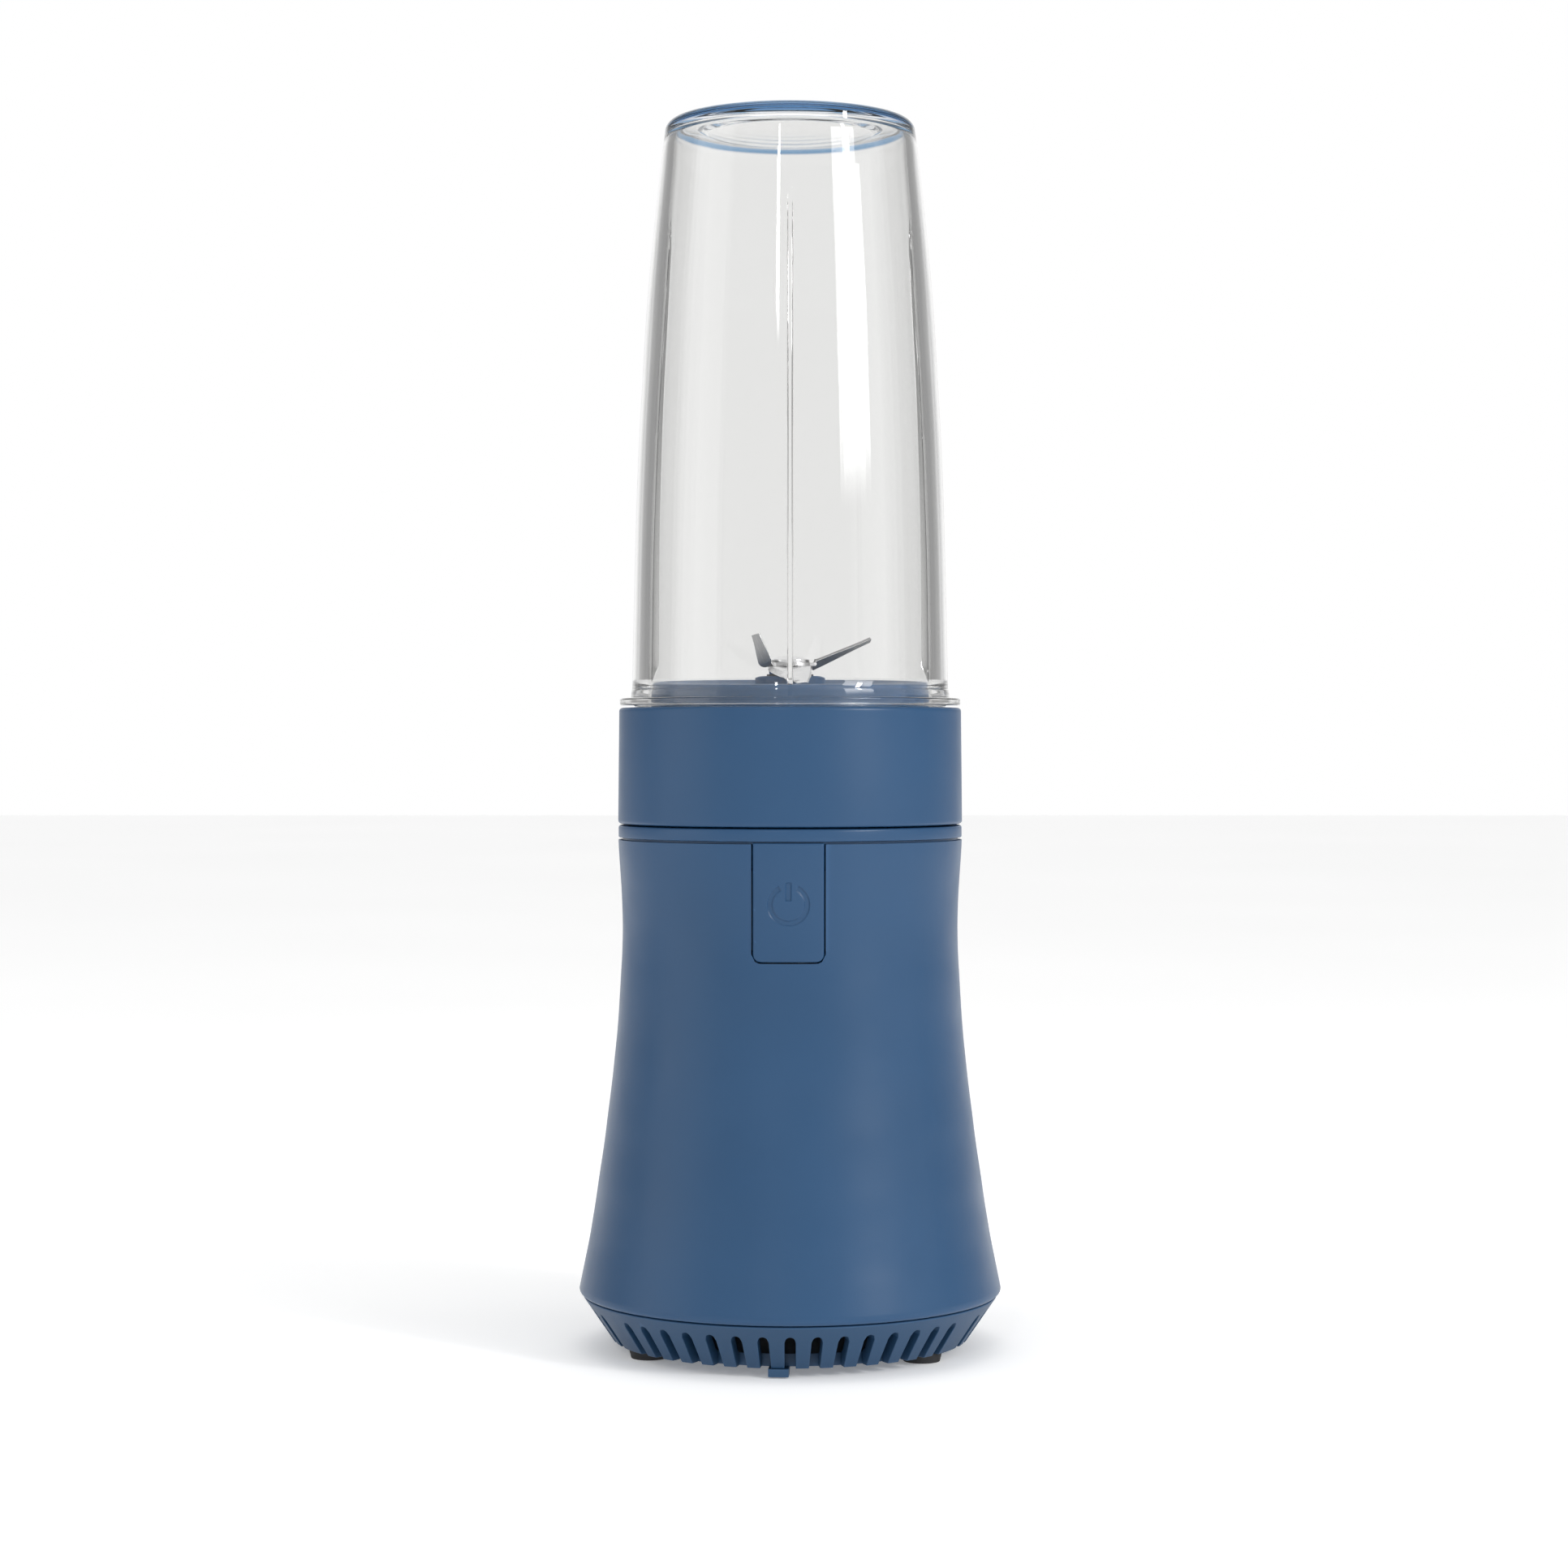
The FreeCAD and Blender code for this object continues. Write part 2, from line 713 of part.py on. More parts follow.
def blade_base():
    """Collar, floor, raised plug and bearing boss in one moulding."""
    body = new_body("blade_base")
    revolve(body, [
        ("socket_bore", "collar_bottom"),
        ("collar_low_radius - collar_edge", "collar_bottom"),
        ("collar_low_radius", "collar_bottom + collar_edge"),
        ("collar_high_radius", "collar_top - collar_edge"),
        ("collar_high_radius - collar_edge", "collar_top"),
        ("thread_bore", "collar_top"),
        ("thread_bore", "web_top"),
        ("plug_radius + 0.3", "web_top"),
        ("plug_radius", "plug_top - 1.5", 1.6, "left"),
        ("plug_radius - 1.5", "plug_top"),
        ("plug_radius - 2.6", "plug_top"),
        ("boss_radius + 3", "dish_floor"),
        ("boss_radius", "dish_floor + 1.5"),
        ("boss_radius", "boss_top - 2"),
        ("boss_radius - 2", "boss_top"),
        ("sleeve_radius + press_fit", "boss_top"),
        ("sleeve_radius + press_fit", "boss_bottom"),
        ("boss_radius", "boss_bottom"),
        ("boss_radius", "dish_floor - 3"),
        ("boss_radius + 3", "dish_floor - 2.6"),
        ("plug_radius - 2.6", "plug_top - 3.5"),
        ("plug_radius - 2.4", "web_bottom"),
        ("socket_bore", "web_bottom"),
    ])
    thread(body, "thread_bore + 0.4", "thread_bore - thread_height", "web_top + 5.2", "thread_lead / 3")
    return body


def cup():
    """Clear inverted cup: threaded neck, flange, tapering side, rounded closed end and four inner ribs."""
    body = new_body("cup")
    revolve(body, [
        ("mouth_bore", "cup_mouth"),
        ("neck_radius", "cup_mouth"),
        ("neck_radius", "flange_bottom"),
        ("flange_radius - 0.4", "flange_bottom"),
        ("flange_radius", "flange_bottom + 0.5"),
        ("flange_radius", "flange_top - 0.5"),
        ("flange_radius - 0.4", "flange_top"),
        ("side_low_radius + 1.6", "flange_top", 2.0, "right"),
        ("side_low_radius", "side_bottom", "side_arc", "left"),
        ("side_high_radius", "side_top", "cup_corner", "left"),
        ("side_high_radius - cup_corner", "cup_top"),
        ("punt_radius + 1", "cup_top"),
        ("punt_radius", "cup_top - 1"),
        (0, "cup_top - 1"),
        (0, "punt_height"),
        ("punt_radius", "punt_height"),
        ("inner_high_radius - 3", "crown_height", 3.3, "right"),
        ("inner_high_radius", "inner_top"),
        ("inner_middle_radius", "inner_middle"),
        ("mouth_bore", "side_bottom"),
    ])
    rib = extrude(body, "XZ_Plane", "rib", lambda sketch: closed_outline(sketch, [
        ("mouth_bore + 1.5", "rib_bottom"),
        ("mouth_bore - 1.6", "rib_bottom + 2"),
        ("inner_high_radius + 0.8", "rib_top"),
        ("inner_high_radius + 3.4", "rib_top"),
    ]), "rib_width", middle=True)
    around(body, rib, 4)
    thread(body, "neck_radius - 0.4", "neck_radius + thread_height", "cup_mouth + 1.2", "thread_lead / 3")
    return body


def blade_arm(direction, bend, length, root_width, tip_width, base, thickness, hub):
    """A flat tapering arm that leaves along direction and turns up by bend degrees at the hub radius."""
    corners = [V(0, -root_width / 2, 0), V(length, -tip_width / 2, 0), V(length, tip_width / 2, 0),
               V(0, root_width / 2, 0)]
    arm = Part.Face(Part.makePolygon(corners + corners[:1])).extrude(V(0, 0, thickness))
    arm.rotate(V(0, 0, thickness if bend > 0 else 0), V(0, 1, 0), -bend)
    arm.translate(V(hub, 0, base))
    link = Part.makeBox(hub, root_width, thickness, V(0, -root_width / 2, base))
    hinge_height = base + (thickness if bend > 0 else 0)
    knuckle = Part.makeCylinder(thickness, root_width, V(hub, -root_width / 2, hinge_height), V(0, 1, 0))
    slab = Part.makeBox(4 * thickness, root_width, 2 * thickness, V(hub - 2 * thickness, -root_width / 2,
                                                                    hinge_height - (2 * thickness if bend > 0
                                                                                    else 0)))
    whole = arm.fuse(link).fuse(knuckle.common(slab))
    whole.rotate(V(0, 0, 0), V(0, 0, 1), direction)
    return whole


def blade(label, base, bend_radius, arms):
    """A two-armed blade stamping with a round hub and a hole for the shaft."""
    thickness = value("blade_thickness")
    solid = Part.makeCylinder(value("blade_hub"), thickness, V(0, 0, base))
    for direction, bend, length, root_width, tip_width in arms:
        arm = blade_arm(direction, bend, length, root_width, tip_width, base, thickness, bend_radius)
        solid = solid.fuse(arm)
    bore = Part.makeCylinder(value("blade_shaft_radius + press_fit"), 4, V(0, 0, base - 1))
    return group(label, [solid.cut(bore).removeSplitter()])


def blade_unit():
    turned_piece("cup_gasket", [
        ("plug_radius + 1", "web_top + 0.05"), ("thread_bore - 0.4", "web_top + 0.05"),
        ("thread_bore - 0.4", "cup_mouth - 0.3"), ("plug_radius + 1", "cup_mouth - 0.3")])
    ring("bearing_sleeve", "sleeve_bore", "sleeve_radius", "boss_bottom", "boss_top")
    ring("lower_bush", "blade_shaft_radius + running_gap", "sleeve_bore - press_fit", "boss_bottom + 0.5",
         "boss_bottom + 8.5")
    ring("upper_bush", "blade_shaft_radius + running_gap", "sleeve_bore - press_fit", "boss_top - 8.5",
         "boss_top - 0.5")
    ring("shaft_seal", "blade_shaft_radius + running_gap", 6, "boss_top + 0.02", "boss_top + 0.5")
    ring("blade_circlip", "blade_shaft_radius + press_fit", 5.2, "boss_bottom - 1.2", "boss_bottom - 0.4")
    turned_piece("blade_shaft", [
        (0, "blade_shaft_low"), ("blade_shaft_radius", "blade_shaft_low"),
        ("blade_shaft_radius", "blade_shaft_high"), (0, "blade_shaft_high")])
    ring("blade_washer", "blade_shaft_radius + press_fit", "nut_radius", "lower_blade_height - 0.52",
         "lower_blade_height - 0.02")
    blade("lower_blade", value("lower_blade_height"), value("lower_bend_radius"),
          [(-90, -27, 13.0, 11.4, 5.0), (90, -27, 13.0, 11.4, 5.0)])
    blade("upper_blade", value("upper_blade_height"), value("upper_bend_radius"),
          [(192, 70, 9.2, 8.0, 4.0), (12, 23.5, 17.8, 8.0, 3.0)])
    turned_piece("blade_nut", [
        ("blade_shaft_radius + press_fit", "nut_low"),
        ("nut_radius", "nut_low"),
        ("nut_radius", "nut_high - 0.9"),
        ("nut_radius - 2.1", "nut_high"),
        (0, "nut_high"),
        (0, "blade_shaft_high + 0.05"),
        ("blade_shaft_radius + press_fit", "blade_shaft_high + 0.05"),
    ])
    driven = turned_piece("driven_coupling", [
        (0, "driven_low"),
        ("driven_outer", "driven_low"),
        ("driven_outer", "socket_high - 2.5"),
        ("driven_outer - 2.4", "socket_high"),
        ("blade_shaft_radius + press_fit", "socket_high"),
        ("blade_shaft_radius + press_fit", "driven_pocket"),
        (0, "driven_pocket"),
    ])
    notch = extrude(driven, "XY_Plane", "notch",
                    rectangle("driven_outer - 2.3", -1.8, "driven_outer + 1", 1.8),
                    "socket_high + 1", cut=True, reverse=True)
    around(driven, notch, 6)


# ---------------------------------------------------------------- underside
def vent_base():
    """Conical skirt with three rows of air slots, open at the bottom, and screw blocks between them."""
    body = new_body("skirt_blank")
    revolve(body, [
        ("plate_radius + plate_clearance", "skirt_bottom"),
        ("skirt_bottom_radius", "skirt_bottom"),
        ("skirt_top_radius", "skirt_top - 0.4"),
        ("skirt_top_radius - 0.4", "skirt_top"),
        ("lip_radius", "skirt_top"),
        ("lip_radius", "skirt_top + 4"),
        ("lip_radius - lip_wall", "skirt_top + 4"),
        ("lip_radius - lip_wall", "skirt_top - 2"),
        ("skirt_top_radius - skirt_wall - 1.5", "slot_high + 0.2"),
        ("skirt_bottom_radius - skirt_wall + 2.3", "plate_top + 0.3"),
        ("plate_radius + plate_clearance", "plate_top + 0.3"),
    ])
    block = extrude(body, "XY_Plane", "screw_block", rectangle(28, -5, 48, 5),
                    "skirt_top - 2 - plate_top", offset="plate_top + 0.05")
    around(body, block, 3)
    holes = extrude(body, "XY_Plane", "screw_hole", lambda sketch: circle(
        sketch, "screw_place * cos(foot_clocking)", "screw_place * -1 * sin(foot_clocking)", 1.3),
        "skirt_top - 3", cut=True, reverse=True)
    around(body, holes, 3)
    place(body, turn="90")
    parts.remove(body)
    return group("vent_base", [body.Shape.cut(Part.makeCompound(air_slots()))])


def air_slots():
    """Cutters for the round-topped upright slots: three rows, the first one centred on the front."""
    half = value("slot_width / 2")
    low = value("skirt_bottom") - 1
    spring_line = value("slot_high") - half
    slots_in_row = int(value("slots_in_row"))
    corners = [V(-half, -60, spring_line), V(-half, -60, low), V(half, -60, low), V(half, -60, spring_line)]
    sides = [Part.makeLine(corners[index], corners[index + 1]) for index in range(3)]
    crown = Part.Arc(corners[3], V(0, -60, spring_line + half), corners[0]).toShape()
    cutter = Part.Face(Part.Wire(sides + [crown])).extrude(V(0, 19, 0))
    cutters = []
    for row in range(3):
        for place_in_row in range(slots_in_row):
            turned = cutter.copy()
            turn = row * 120 + (place_in_row - (slots_in_row - 1) / 2) * value("slot_pitch")
            turned.rotate(V(0, 0, 0), V(0, 0, 1), turn)
            cutters.append(turned)
    return cutters


def bottom_plate():
    """Round closing plate with a small front tab, three screw seats and holes for the feet's studs."""
    body = turned_piece("bottom_plate", [
        (0, "plate_bottom"), ("plate_radius", "plate_bottom"),
        ("plate_radius", "plate_top"), (0, "plate_top")])
    extrude(body, "YZ_Plane", "tab", lambda sketch: closed_outline(sketch, [
        (-46, 0.4), (-43, 0.4), (-38, "plate_bottom"), (-38, "plate_bottom + 0.6"),
        (-42.2, "plate_bottom + 0.6"), (-42.2, "plate_bottom - 0.05"), (-46, "plate_bottom - 0.05")]),
        5, middle=True)
    for name, distance, radius, depth in (
            ("screw_hole", "screw_place", 1.8, "plate_top"),
            ("screw_seat", "screw_place", 3.3, "plate_bottom + 1.7"),
            ("foot_hole", "foot_circle", 2.1, "plate_top")):
        hole = extrude(body, "XY_Plane", name, lambda sketch: circle(sketch, 0, distance, radius), depth,
                       cut=True, reverse=True)
        around(body, hole, 3)
    return place(body, turn="foot_clocking * -1")


def base_screws():
    """Three countersunk screws through the closing plate into the skirt's blocks."""
    low = value("plate_bottom") + 0.1
    return group("base_screws", [
        Part.makeCylinder(3.0, 1.5, spot + V(0, 0, low)).fuse(Part.makeCylinder(1.25, 8, spot + V(0, 0, low)))
        for spot in on_circle(value("screw_place"), 3, 90 - value("foot_clocking"))])


def feet():
    """Three rubber feet with push-in studs."""
    radius = value("foot_radius")
    top = value("plate_bottom") - 0.02
    return group("feet", [
        Part.makeCone(radius - 0.6, radius, top, spot).fuse(Part.makeCylinder(2.05, top + 2.2, spot))
        for spot in on_circle(value("foot_circle"), 3, 90 - value("foot_clocking"))])


def cord_gland():
    """Flanged bush in the rear wall where a mains lead would enter."""
    low = value("gland_height")
    radius = value("gland_radius")
    wall = value("flare_radius") - 1.9
    barrel = Part.makeCylinder(radius, 9, V(0, wall - 9, low), V(0, 1, 0))
    flange = Part.makeCylinder(radius + 1.6, 1.6, V(0, wall - 9, low), V(0, 1, 0))
    bore = Part.makeCylinder(value("gland_bore"), 12, V(0, wall - 10, low), V(0, 1, 0))
    return group("cord_gland", [barrel.fuse(flange).cut(bore)])


for builder in (motor_housing, well_cap, power_button, button_spring, switch_body, switch_plunger,
                switch_bracket, switch_screws, stator_core, field_coils, armature_core, armature_winding,
                commutator, cooling_fan, bracket_screws, brush_holders, carbon_brushes, brush_springs,
                drive_coupling, blade_base, cup, blade_unit, vent_base, bottom_plate, base_screws, feet,
                cord_gland):
    builder()
motor_bracket("upper_bracket", "upper_bearing_bottom - 1", "upper_bearing_bottom")
motor_bracket("lower_bracket", "lower_bearing_bottom + 1", "lower_bearing_bottom")
bearing("upper_bearing", "upper_bearing_bottom")
bearing("lower_bearing", "lower_bearing_bottom")
turned_piece("motor_shaft", [
    (0, "shaft_bottom"), ("shaft_radius", "shaft_bottom"), ("shaft_radius", "shaft_top"), (0, "shaft_top")])
ring("well_seal", "shaft_radius + 0.1", "well_bore - press_fit", "cap_bottom", "cap_bottom + 2.8")

doc.recompute()
for item in doc.Objects:
    if "Invalid" in item.State or "Error" in item.State:
        raise RuntimeError(f"{item.Label} failed: {item.State}")
os.makedirs("parts", exist_ok=True)
for part in parts:
    if part.Shape.isNull() or not part.Shape.isValid():
        raise RuntimeError(f"{part.Label} has no sound shape")
    part.Shape.exportStep(f"parts/{part.Label}.step")
    print(f"{part.Label}: {part.Shape.Volume / 1000:.2f} cm3, {len(part.Shape.Solids)} solids")
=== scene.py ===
"""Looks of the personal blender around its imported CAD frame. Metres, +Z up, front towards -Y.

Pieces are shaped in millimetres and scaled once, when their meshes are made.
"""
import bisect
import json
import math

import bmesh
import bpy
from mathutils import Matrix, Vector


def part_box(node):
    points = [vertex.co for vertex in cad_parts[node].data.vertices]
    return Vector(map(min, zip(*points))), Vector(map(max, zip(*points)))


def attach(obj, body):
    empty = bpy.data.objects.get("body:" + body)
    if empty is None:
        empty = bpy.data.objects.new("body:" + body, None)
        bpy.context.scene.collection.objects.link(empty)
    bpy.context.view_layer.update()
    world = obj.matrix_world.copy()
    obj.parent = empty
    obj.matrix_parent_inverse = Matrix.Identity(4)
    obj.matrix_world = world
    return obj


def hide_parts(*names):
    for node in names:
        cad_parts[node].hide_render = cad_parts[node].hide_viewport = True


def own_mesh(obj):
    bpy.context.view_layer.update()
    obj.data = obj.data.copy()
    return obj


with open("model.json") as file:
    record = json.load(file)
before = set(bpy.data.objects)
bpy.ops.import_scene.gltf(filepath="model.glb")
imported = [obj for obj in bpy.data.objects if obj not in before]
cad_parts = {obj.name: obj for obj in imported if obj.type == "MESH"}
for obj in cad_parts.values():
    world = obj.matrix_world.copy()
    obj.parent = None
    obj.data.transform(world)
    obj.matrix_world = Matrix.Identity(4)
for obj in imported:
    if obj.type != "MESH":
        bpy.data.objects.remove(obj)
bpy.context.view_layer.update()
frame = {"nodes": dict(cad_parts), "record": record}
MM = 0.001
TAU = 2 * math.pi


def box_mm(node):
    """A CAD node's lowest and highest corner, in millimetres."""
    low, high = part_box(node)
    return low / MM, high / MM


# ------------------------------------------------------------------ sizes read from the frame
HOUSING_LOW, HOUSING_HIGH = box_mm("motor_housing")
COLLAR_LOW, COLLAR_HIGH = box_mm("blade_base")
CUP_LOW, CUP_HIGH = box_mm("cup")
CAP_LOW, CAP_HIGH = box_mm("well_cap")
SKIRT_LOW, SKIRT_HIGH = box_mm("vent_base")
BUTTON_LOW, BUTTON_HIGH = box_mm("power_button")
PLATE_HIGH = box_mm("bottom_plate")[1]

THREAD_LEAD = 12.0
THREAD_HEIGHT = 1.0
RIM_DEPTH = 3.4
RIM_RADIUS = 29.4
SOFT_ANGLE = 40
WELD_REACH = 2e-6


# ------------------------------------------------------------------ materials
def node_material(name):
    """An empty node material with its shader and helpers."""
    material = bpy.data.materials.new(name)
    material.use_nodes = True
    tree = material.node_tree
    shader = tree.nodes["Principled BSDF"]
    return material, tree, shader


def add_node(tree, kind, **settings):
    """A node with some of its properties or inputs set by name."""
    node = tree.nodes.new(kind)
    for key, setting in settings.items():
        if hasattr(node, key):
            setattr(node, key, setting)
        else:
            node.inputs[key.replace("_", " ")].default_value = setting
    return node


def noise(tree, scale, detail=3.0, roughness=0.5, stretch=(1, 1, 1)):
    """Noise in the piece's own space, in cells per metre, stretched along an axis if asked."""
    coordinates = add_node(tree, "ShaderNodeTexCoord")
    mapping = add_node(tree, "ShaderNodeMapping")
    mapping.inputs["Scale"].default_value = stretch
    texture = add_node(tree, "ShaderNodeTexNoise", Scale=scale, Detail=detail, Roughness=roughness)
    tree.links.new(coordinates.outputs["Object"], mapping.inputs["Vector"])
    tree.links.new(mapping.outputs["Vector"], texture.inputs["Vector"])
    return texture.outputs["Fac"]


def ramp(tree, source, low, high, spots=(0.35, 0.65)):
    """Maps a value to two colours or greys."""
    node = add_node(tree, "ShaderNodeValToRGB")
    for element, spot, colour in zip(node.color_ramp.elements, spots, (low, high)):
        element.position = spot
        element.color = colour if len(colour) == 4 else (*colour, 1)
    tree.links.new(source, node.inputs["Fac"])
    return node.outputs["Color"]


def grey(level):
    """An opaque grey as a colour."""
    return (level, level, level, 1)


def bump(tree, shader, source, strength, distance):
    """Adds bump from a value to what the shader has already."""
    node = add_node(tree, "ShaderNodeBump")
    node.inputs["Strength"].default_value = strength
    node.inputs["Distance"].default_value = distance
    tree.links.new(source, node.inputs["Height"])
    earlier = shader.inputs["Normal"].links
    if earlier:
        tree.links.new(earlier[0].from_socket, node.inputs["Normal"])
    tree.links.new(node.outputs["Normal"], shader.inputs["Normal"])


def mapped(tree, source, low, high, to_low=0.0, to_high=1.0, way="SMOOTHSTEP"):
    """Carries a value from one range over to another."""
    node = add_node(tree, "ShaderNodeMapRange", interpolation_type=way, From_Min=low, From_Max=high,
                    To_Min=to_low, To_Max=to_high)
    tree.links.new(source, node.inputs["Value"])
    return node.outputs["Result"]


def product(tree, first, second):
    """Two values multiplied."""
    node = add_node(tree, "ShaderNodeMath", operation="MULTIPLY")
    tree.links.new(first, node.inputs[0])
    tree.links.new(second, node.inputs[1])
    return node.outputs["Value"]


def edge_wear(tree, amount):
    """White along convex edges, from the surface's pointiness."""
    geometry = add_node(tree, "ShaderNodeNewGeometry")
    return mapped(tree, geometry.outputs["Pointiness"], 0.52, 0.62, 0.0, amount, "LINEAR")


def mixed(tree, factor, first, second):
    """A colour between two, by a factor socket."""
    node = add_node(tree, "ShaderNodeMix", data_type="RGBA")
    tree.links.new(factor, node.inputs["Factor"])
    for socket, colour in ((node.inputs[6], first), (node.inputs[7], second)):
        if isinstance(colour, tuple):
            socket.default_value = colour if len(colour) == 4 else (*colour, 1)
        else:
            tree.links.new(colour, socket)
    return node.outputs[2]


def moulded_plastic(name, colour, roughness, grain=0.06, spread=0.07, worn=0.25):
    """Moulded plastic: fine spark-eroded grain, faint colour drift, lighter worn edges."""
    material, tree, shader = node_material(name)
    darker = tuple(channel * (1 - spread) for channel in colour)
    lighter = tuple(min(1, channel * (1 + spread)) for channel in colour)
    drift = ramp(tree, noise(tree, 14, 4), darker, lighter, (0.3, 0.7))
    pale = tuple(min(1, channel * 1.9 + 0.02) for channel in colour)
    tree.links.new(mixed(tree, edge_wear(tree, worn), drift, pale), shader.inputs["Base Color"])
    gloss = ramp(tree, noise(tree, 60, 5), grey(roughness - 0.03), grey(roughness + 0.04))
    tree.links.new(gloss, shader.inputs["Roughness"])
    bump(tree, shader, noise(tree, 2600, 2), grain, 0.0002)
    bump(tree, shader, noise(tree, 90, 2), 0.05, 0.0004)
    shader.inputs["Specular IOR Level"].default_value = 0.4
    return material


def metal(name, colour, roughness, brushed=(1, 1, 1), spread=0.06, grain=0.12, edge=1.0):
    """Machined or brushed metal: streaks stretched along one axis. Edge dims it where it is seen aslant."""
    material, tree, shader = node_material(name)
    darker = tuple(channel * (1 - spread) for channel in colour)
    tree.links.new(ramp(tree, noise(tree, 300, 4, 0.6, brushed), darker, colour), shader.inputs["Base Color"])
    streaks = noise(tree, 500, 3, 0.6, brushed)
    gloss = ramp(tree, streaks, grey(roughness * 0.8), grey(roughness * 1.25))
    tree.links.new(gloss, shader.inputs["Roughness"])
    bump(tree, shader, noise(tree, 900, 2, 0.5, brushed), grain, 0.0001)
    shader.inputs["Metallic"].default_value = 1.0
    shader.inputs["Specular Tint"].default_value = (edge, edge, edge, 1)
    return material


def clear_plastic(name):
    """Thick clear moulded plastic with faint flow waviness, and blue painted into its colour round its upper
    rim: a painted reflection of the blue body seen through the rounded rim, not a tint.

    Shadow rays pass straight through, so that the lamps reach what is inside.
    """
    material, tree, shader = node_material(name)
    shader.inputs["Transmission Weight"].default_value = 1.0
    shader.inputs["IOR"].default_value = 1.5
    coordinates = add_node(tree, "ShaderNodeTexCoord")
    split = add_node(tree, "ShaderNodeSeparateXYZ")
    tree.links.new(coordinates.outputs["Object"], split.inputs["Vector"])
    level = add_node(tree, "ShaderNodeCombineXYZ")
    tree.links.new(split.outputs["X"], level.inputs["X"])
    tree.links.new(split.outputs["Y"], level.inputs["Y"])
    radius = add_node(tree, "ShaderNodeVectorMath", operation="LENGTH")
    tree.links.new(level.outputs["Vector"], radius.inputs[0])
    # Painted reflection: blue is mixed into the clear colour in a band round the top rim, for the blue body
    # seen refracted there.
    rim_low = CUP_HIGH.z - RIM_DEPTH
    near_top = mapped(tree, split.outputs["Z"], rim_low * MM, (rim_low + 1.2) * MM)
    near_edge = mapped(tree, radius.outputs["Value"], RIM_RADIUS * MM, (RIM_RADIUS + 1.0) * MM)
    rim = product(tree, near_top, near_edge)
    tree.links.new(mixed(tree, rim, CLEAR, PAINTED_RIM_BLUE_REFLECTION), shader.inputs["Base Color"])
    gloss = ramp(tree, noise(tree, 40, 3), grey(0.004), grey(0.02))
    tree.links.new(gloss, shader.inputs["Roughness"])
    bump(tree, shader, noise(tree, 22, 1), 0.02, 0.0006)
    passing = add_node(tree, "ShaderNodeBsdfTransparent")
    passing.inputs["Color"].default_value = (*CLEAR, 1)
    ray = add_node(tree, "ShaderNodeLightPath")
    either = add_node(tree, "ShaderNodeMixShader")
    tree.links.new(ray.outputs["Is Shadow Ray"], either.inputs["Fac"])
    tree.links.new(shader.outputs["BSDF"], either.inputs[1])
    tree.links.new(passing.outputs["BSDF"], either.inputs[2])
    tree.links.new(either.outputs["Shader"], tree.nodes["Material Output"].inputs["Surface"])
    return material


def rubber(name, colour):
    """Matte moulded rubber with a dusty bloom."""
    material, tree, shader = node_material(name)
    lighter = tuple(channel * 1.6 + 0.01 for channel in colour)
    tree.links.new(ramp(tree, noise(tree, 120, 4), colour, lighter, (0.4, 0.75)), shader.inputs["Base Color"])
    tree.links.new(ramp(tree, noise(tree, 200, 3), grey(0.6), grey(0.8)), shader.inputs["Roughness"])
    bump(tree, shader, noise(tree, 1800, 3), 0.15, 0.0002)
    return material


BLUE = (0.0174, 0.067, 0.155)
# Painted shade: the skirt's blue is a darker copy of the shell blue, for the low light its downward-facing
# side gets.
SKIRT_BLUE_WITH_PAINTED_SHADE = (0.018, 0.060, 0.130)
CLEAR = (0.90, 0.90, 0.895)
# Blue painted into the cup's top rim: a painted reflection of the blue body, not a dye in the plastic.
PAINTED_RIM_BLUE_REFLECTION = (0.04, 0.15, 0.37)
MATERIALS = {
    "shell_blue": moulded_plastic("shell_blue_plastic", BLUE, 0.34),
    "skirt_blue": moulded_plastic("skirt_blue_plastic", SKIRT_BLUE_WITH_PAINTED_SHADE, 0.45),
    "clear_cup": clear_plastic("clear_cup_plastic"),
    # The upper blade's steel is a darker copy of the blade steel, with dimmed edges: painted shade for the
    # dim surroundings its arms mirror.
    "blade_steel": metal("ground_blade_steel", (0.93, 0.93, 0.94), 0.18, (1, 6, 1)),
    "arm_steel_painted_shade": metal("upper_blade_steel_painted_shade", (0.56, 0.56, 0.565), 0.34, (1, 6, 1), 0.2, 0.2, 0.5),
    "silicone": rubber("grey_silicone", (0.42, 0.44, 0.47)),
    "black_rubber": rubber("black_foot_rubber", (0.016, 0.016, 0.018)),
    "black_plastic": moulded_plastic("black_nylon", (0.022, 0.022, 0.025), 0.45, 0.08),
    "machined_steel": metal("turned_steel", (0.62, 0.62, 0.63), 0.28, (1, 1, 12)),
    "lamination": metal("stacked_laminations", (0.28, 0.28, 0.30), 0.45, (1, 1, 40), 0.35, 0.4),
    "copper": metal("enamelled_copper", (0.62, 0.28, 0.13), 0.30, (1, 1, 20), 0.25, 0.3),
    "carbon": moulded_plastic("pressed_carbon", (0.030, 0.030, 0.031), 0.6, 0.15),
    "cast_metal": metal("cast_bracket_metal", (0.60, 0.61, 0.62), 0.42, (1, 1, 1), 0.12, 0.35),
}


# ------------------------------------------------------------------ mesh helpers
def new_piece(name, vertices, faces, body, slot, replaced, sharp=SOFT_ANGLE):
    """A closed mesh piece from millimetre vertices, riding on its body in place of a CAD node."""
    mesh = bpy.data.meshes.new(name)
    mesh.from_pydata([Vector(vertex) * MM for vertex in vertices], [], faces)
    mesh.validate()
    mesh.materials.append(MATERIALS[slot])
    piece = bpy.data.objects.new(name, mesh)
    bpy.context.scene.collection.objects.link(piece)
    smooth_by_angle(piece, sharp)
    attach(piece, body)
    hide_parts(replaced)
    clean(piece)
    return piece


def smooth_by_angle(piece, degrees):
    """Smooth shading with sharp edges where faces meet at more than this angle."""
    mesh = piece.data
    mesh.polygons.foreach_set("use_smooth", [True] * len(mesh.polygons))
    mesh.set_sharp_from_angle(angle=math.radians(degrees))


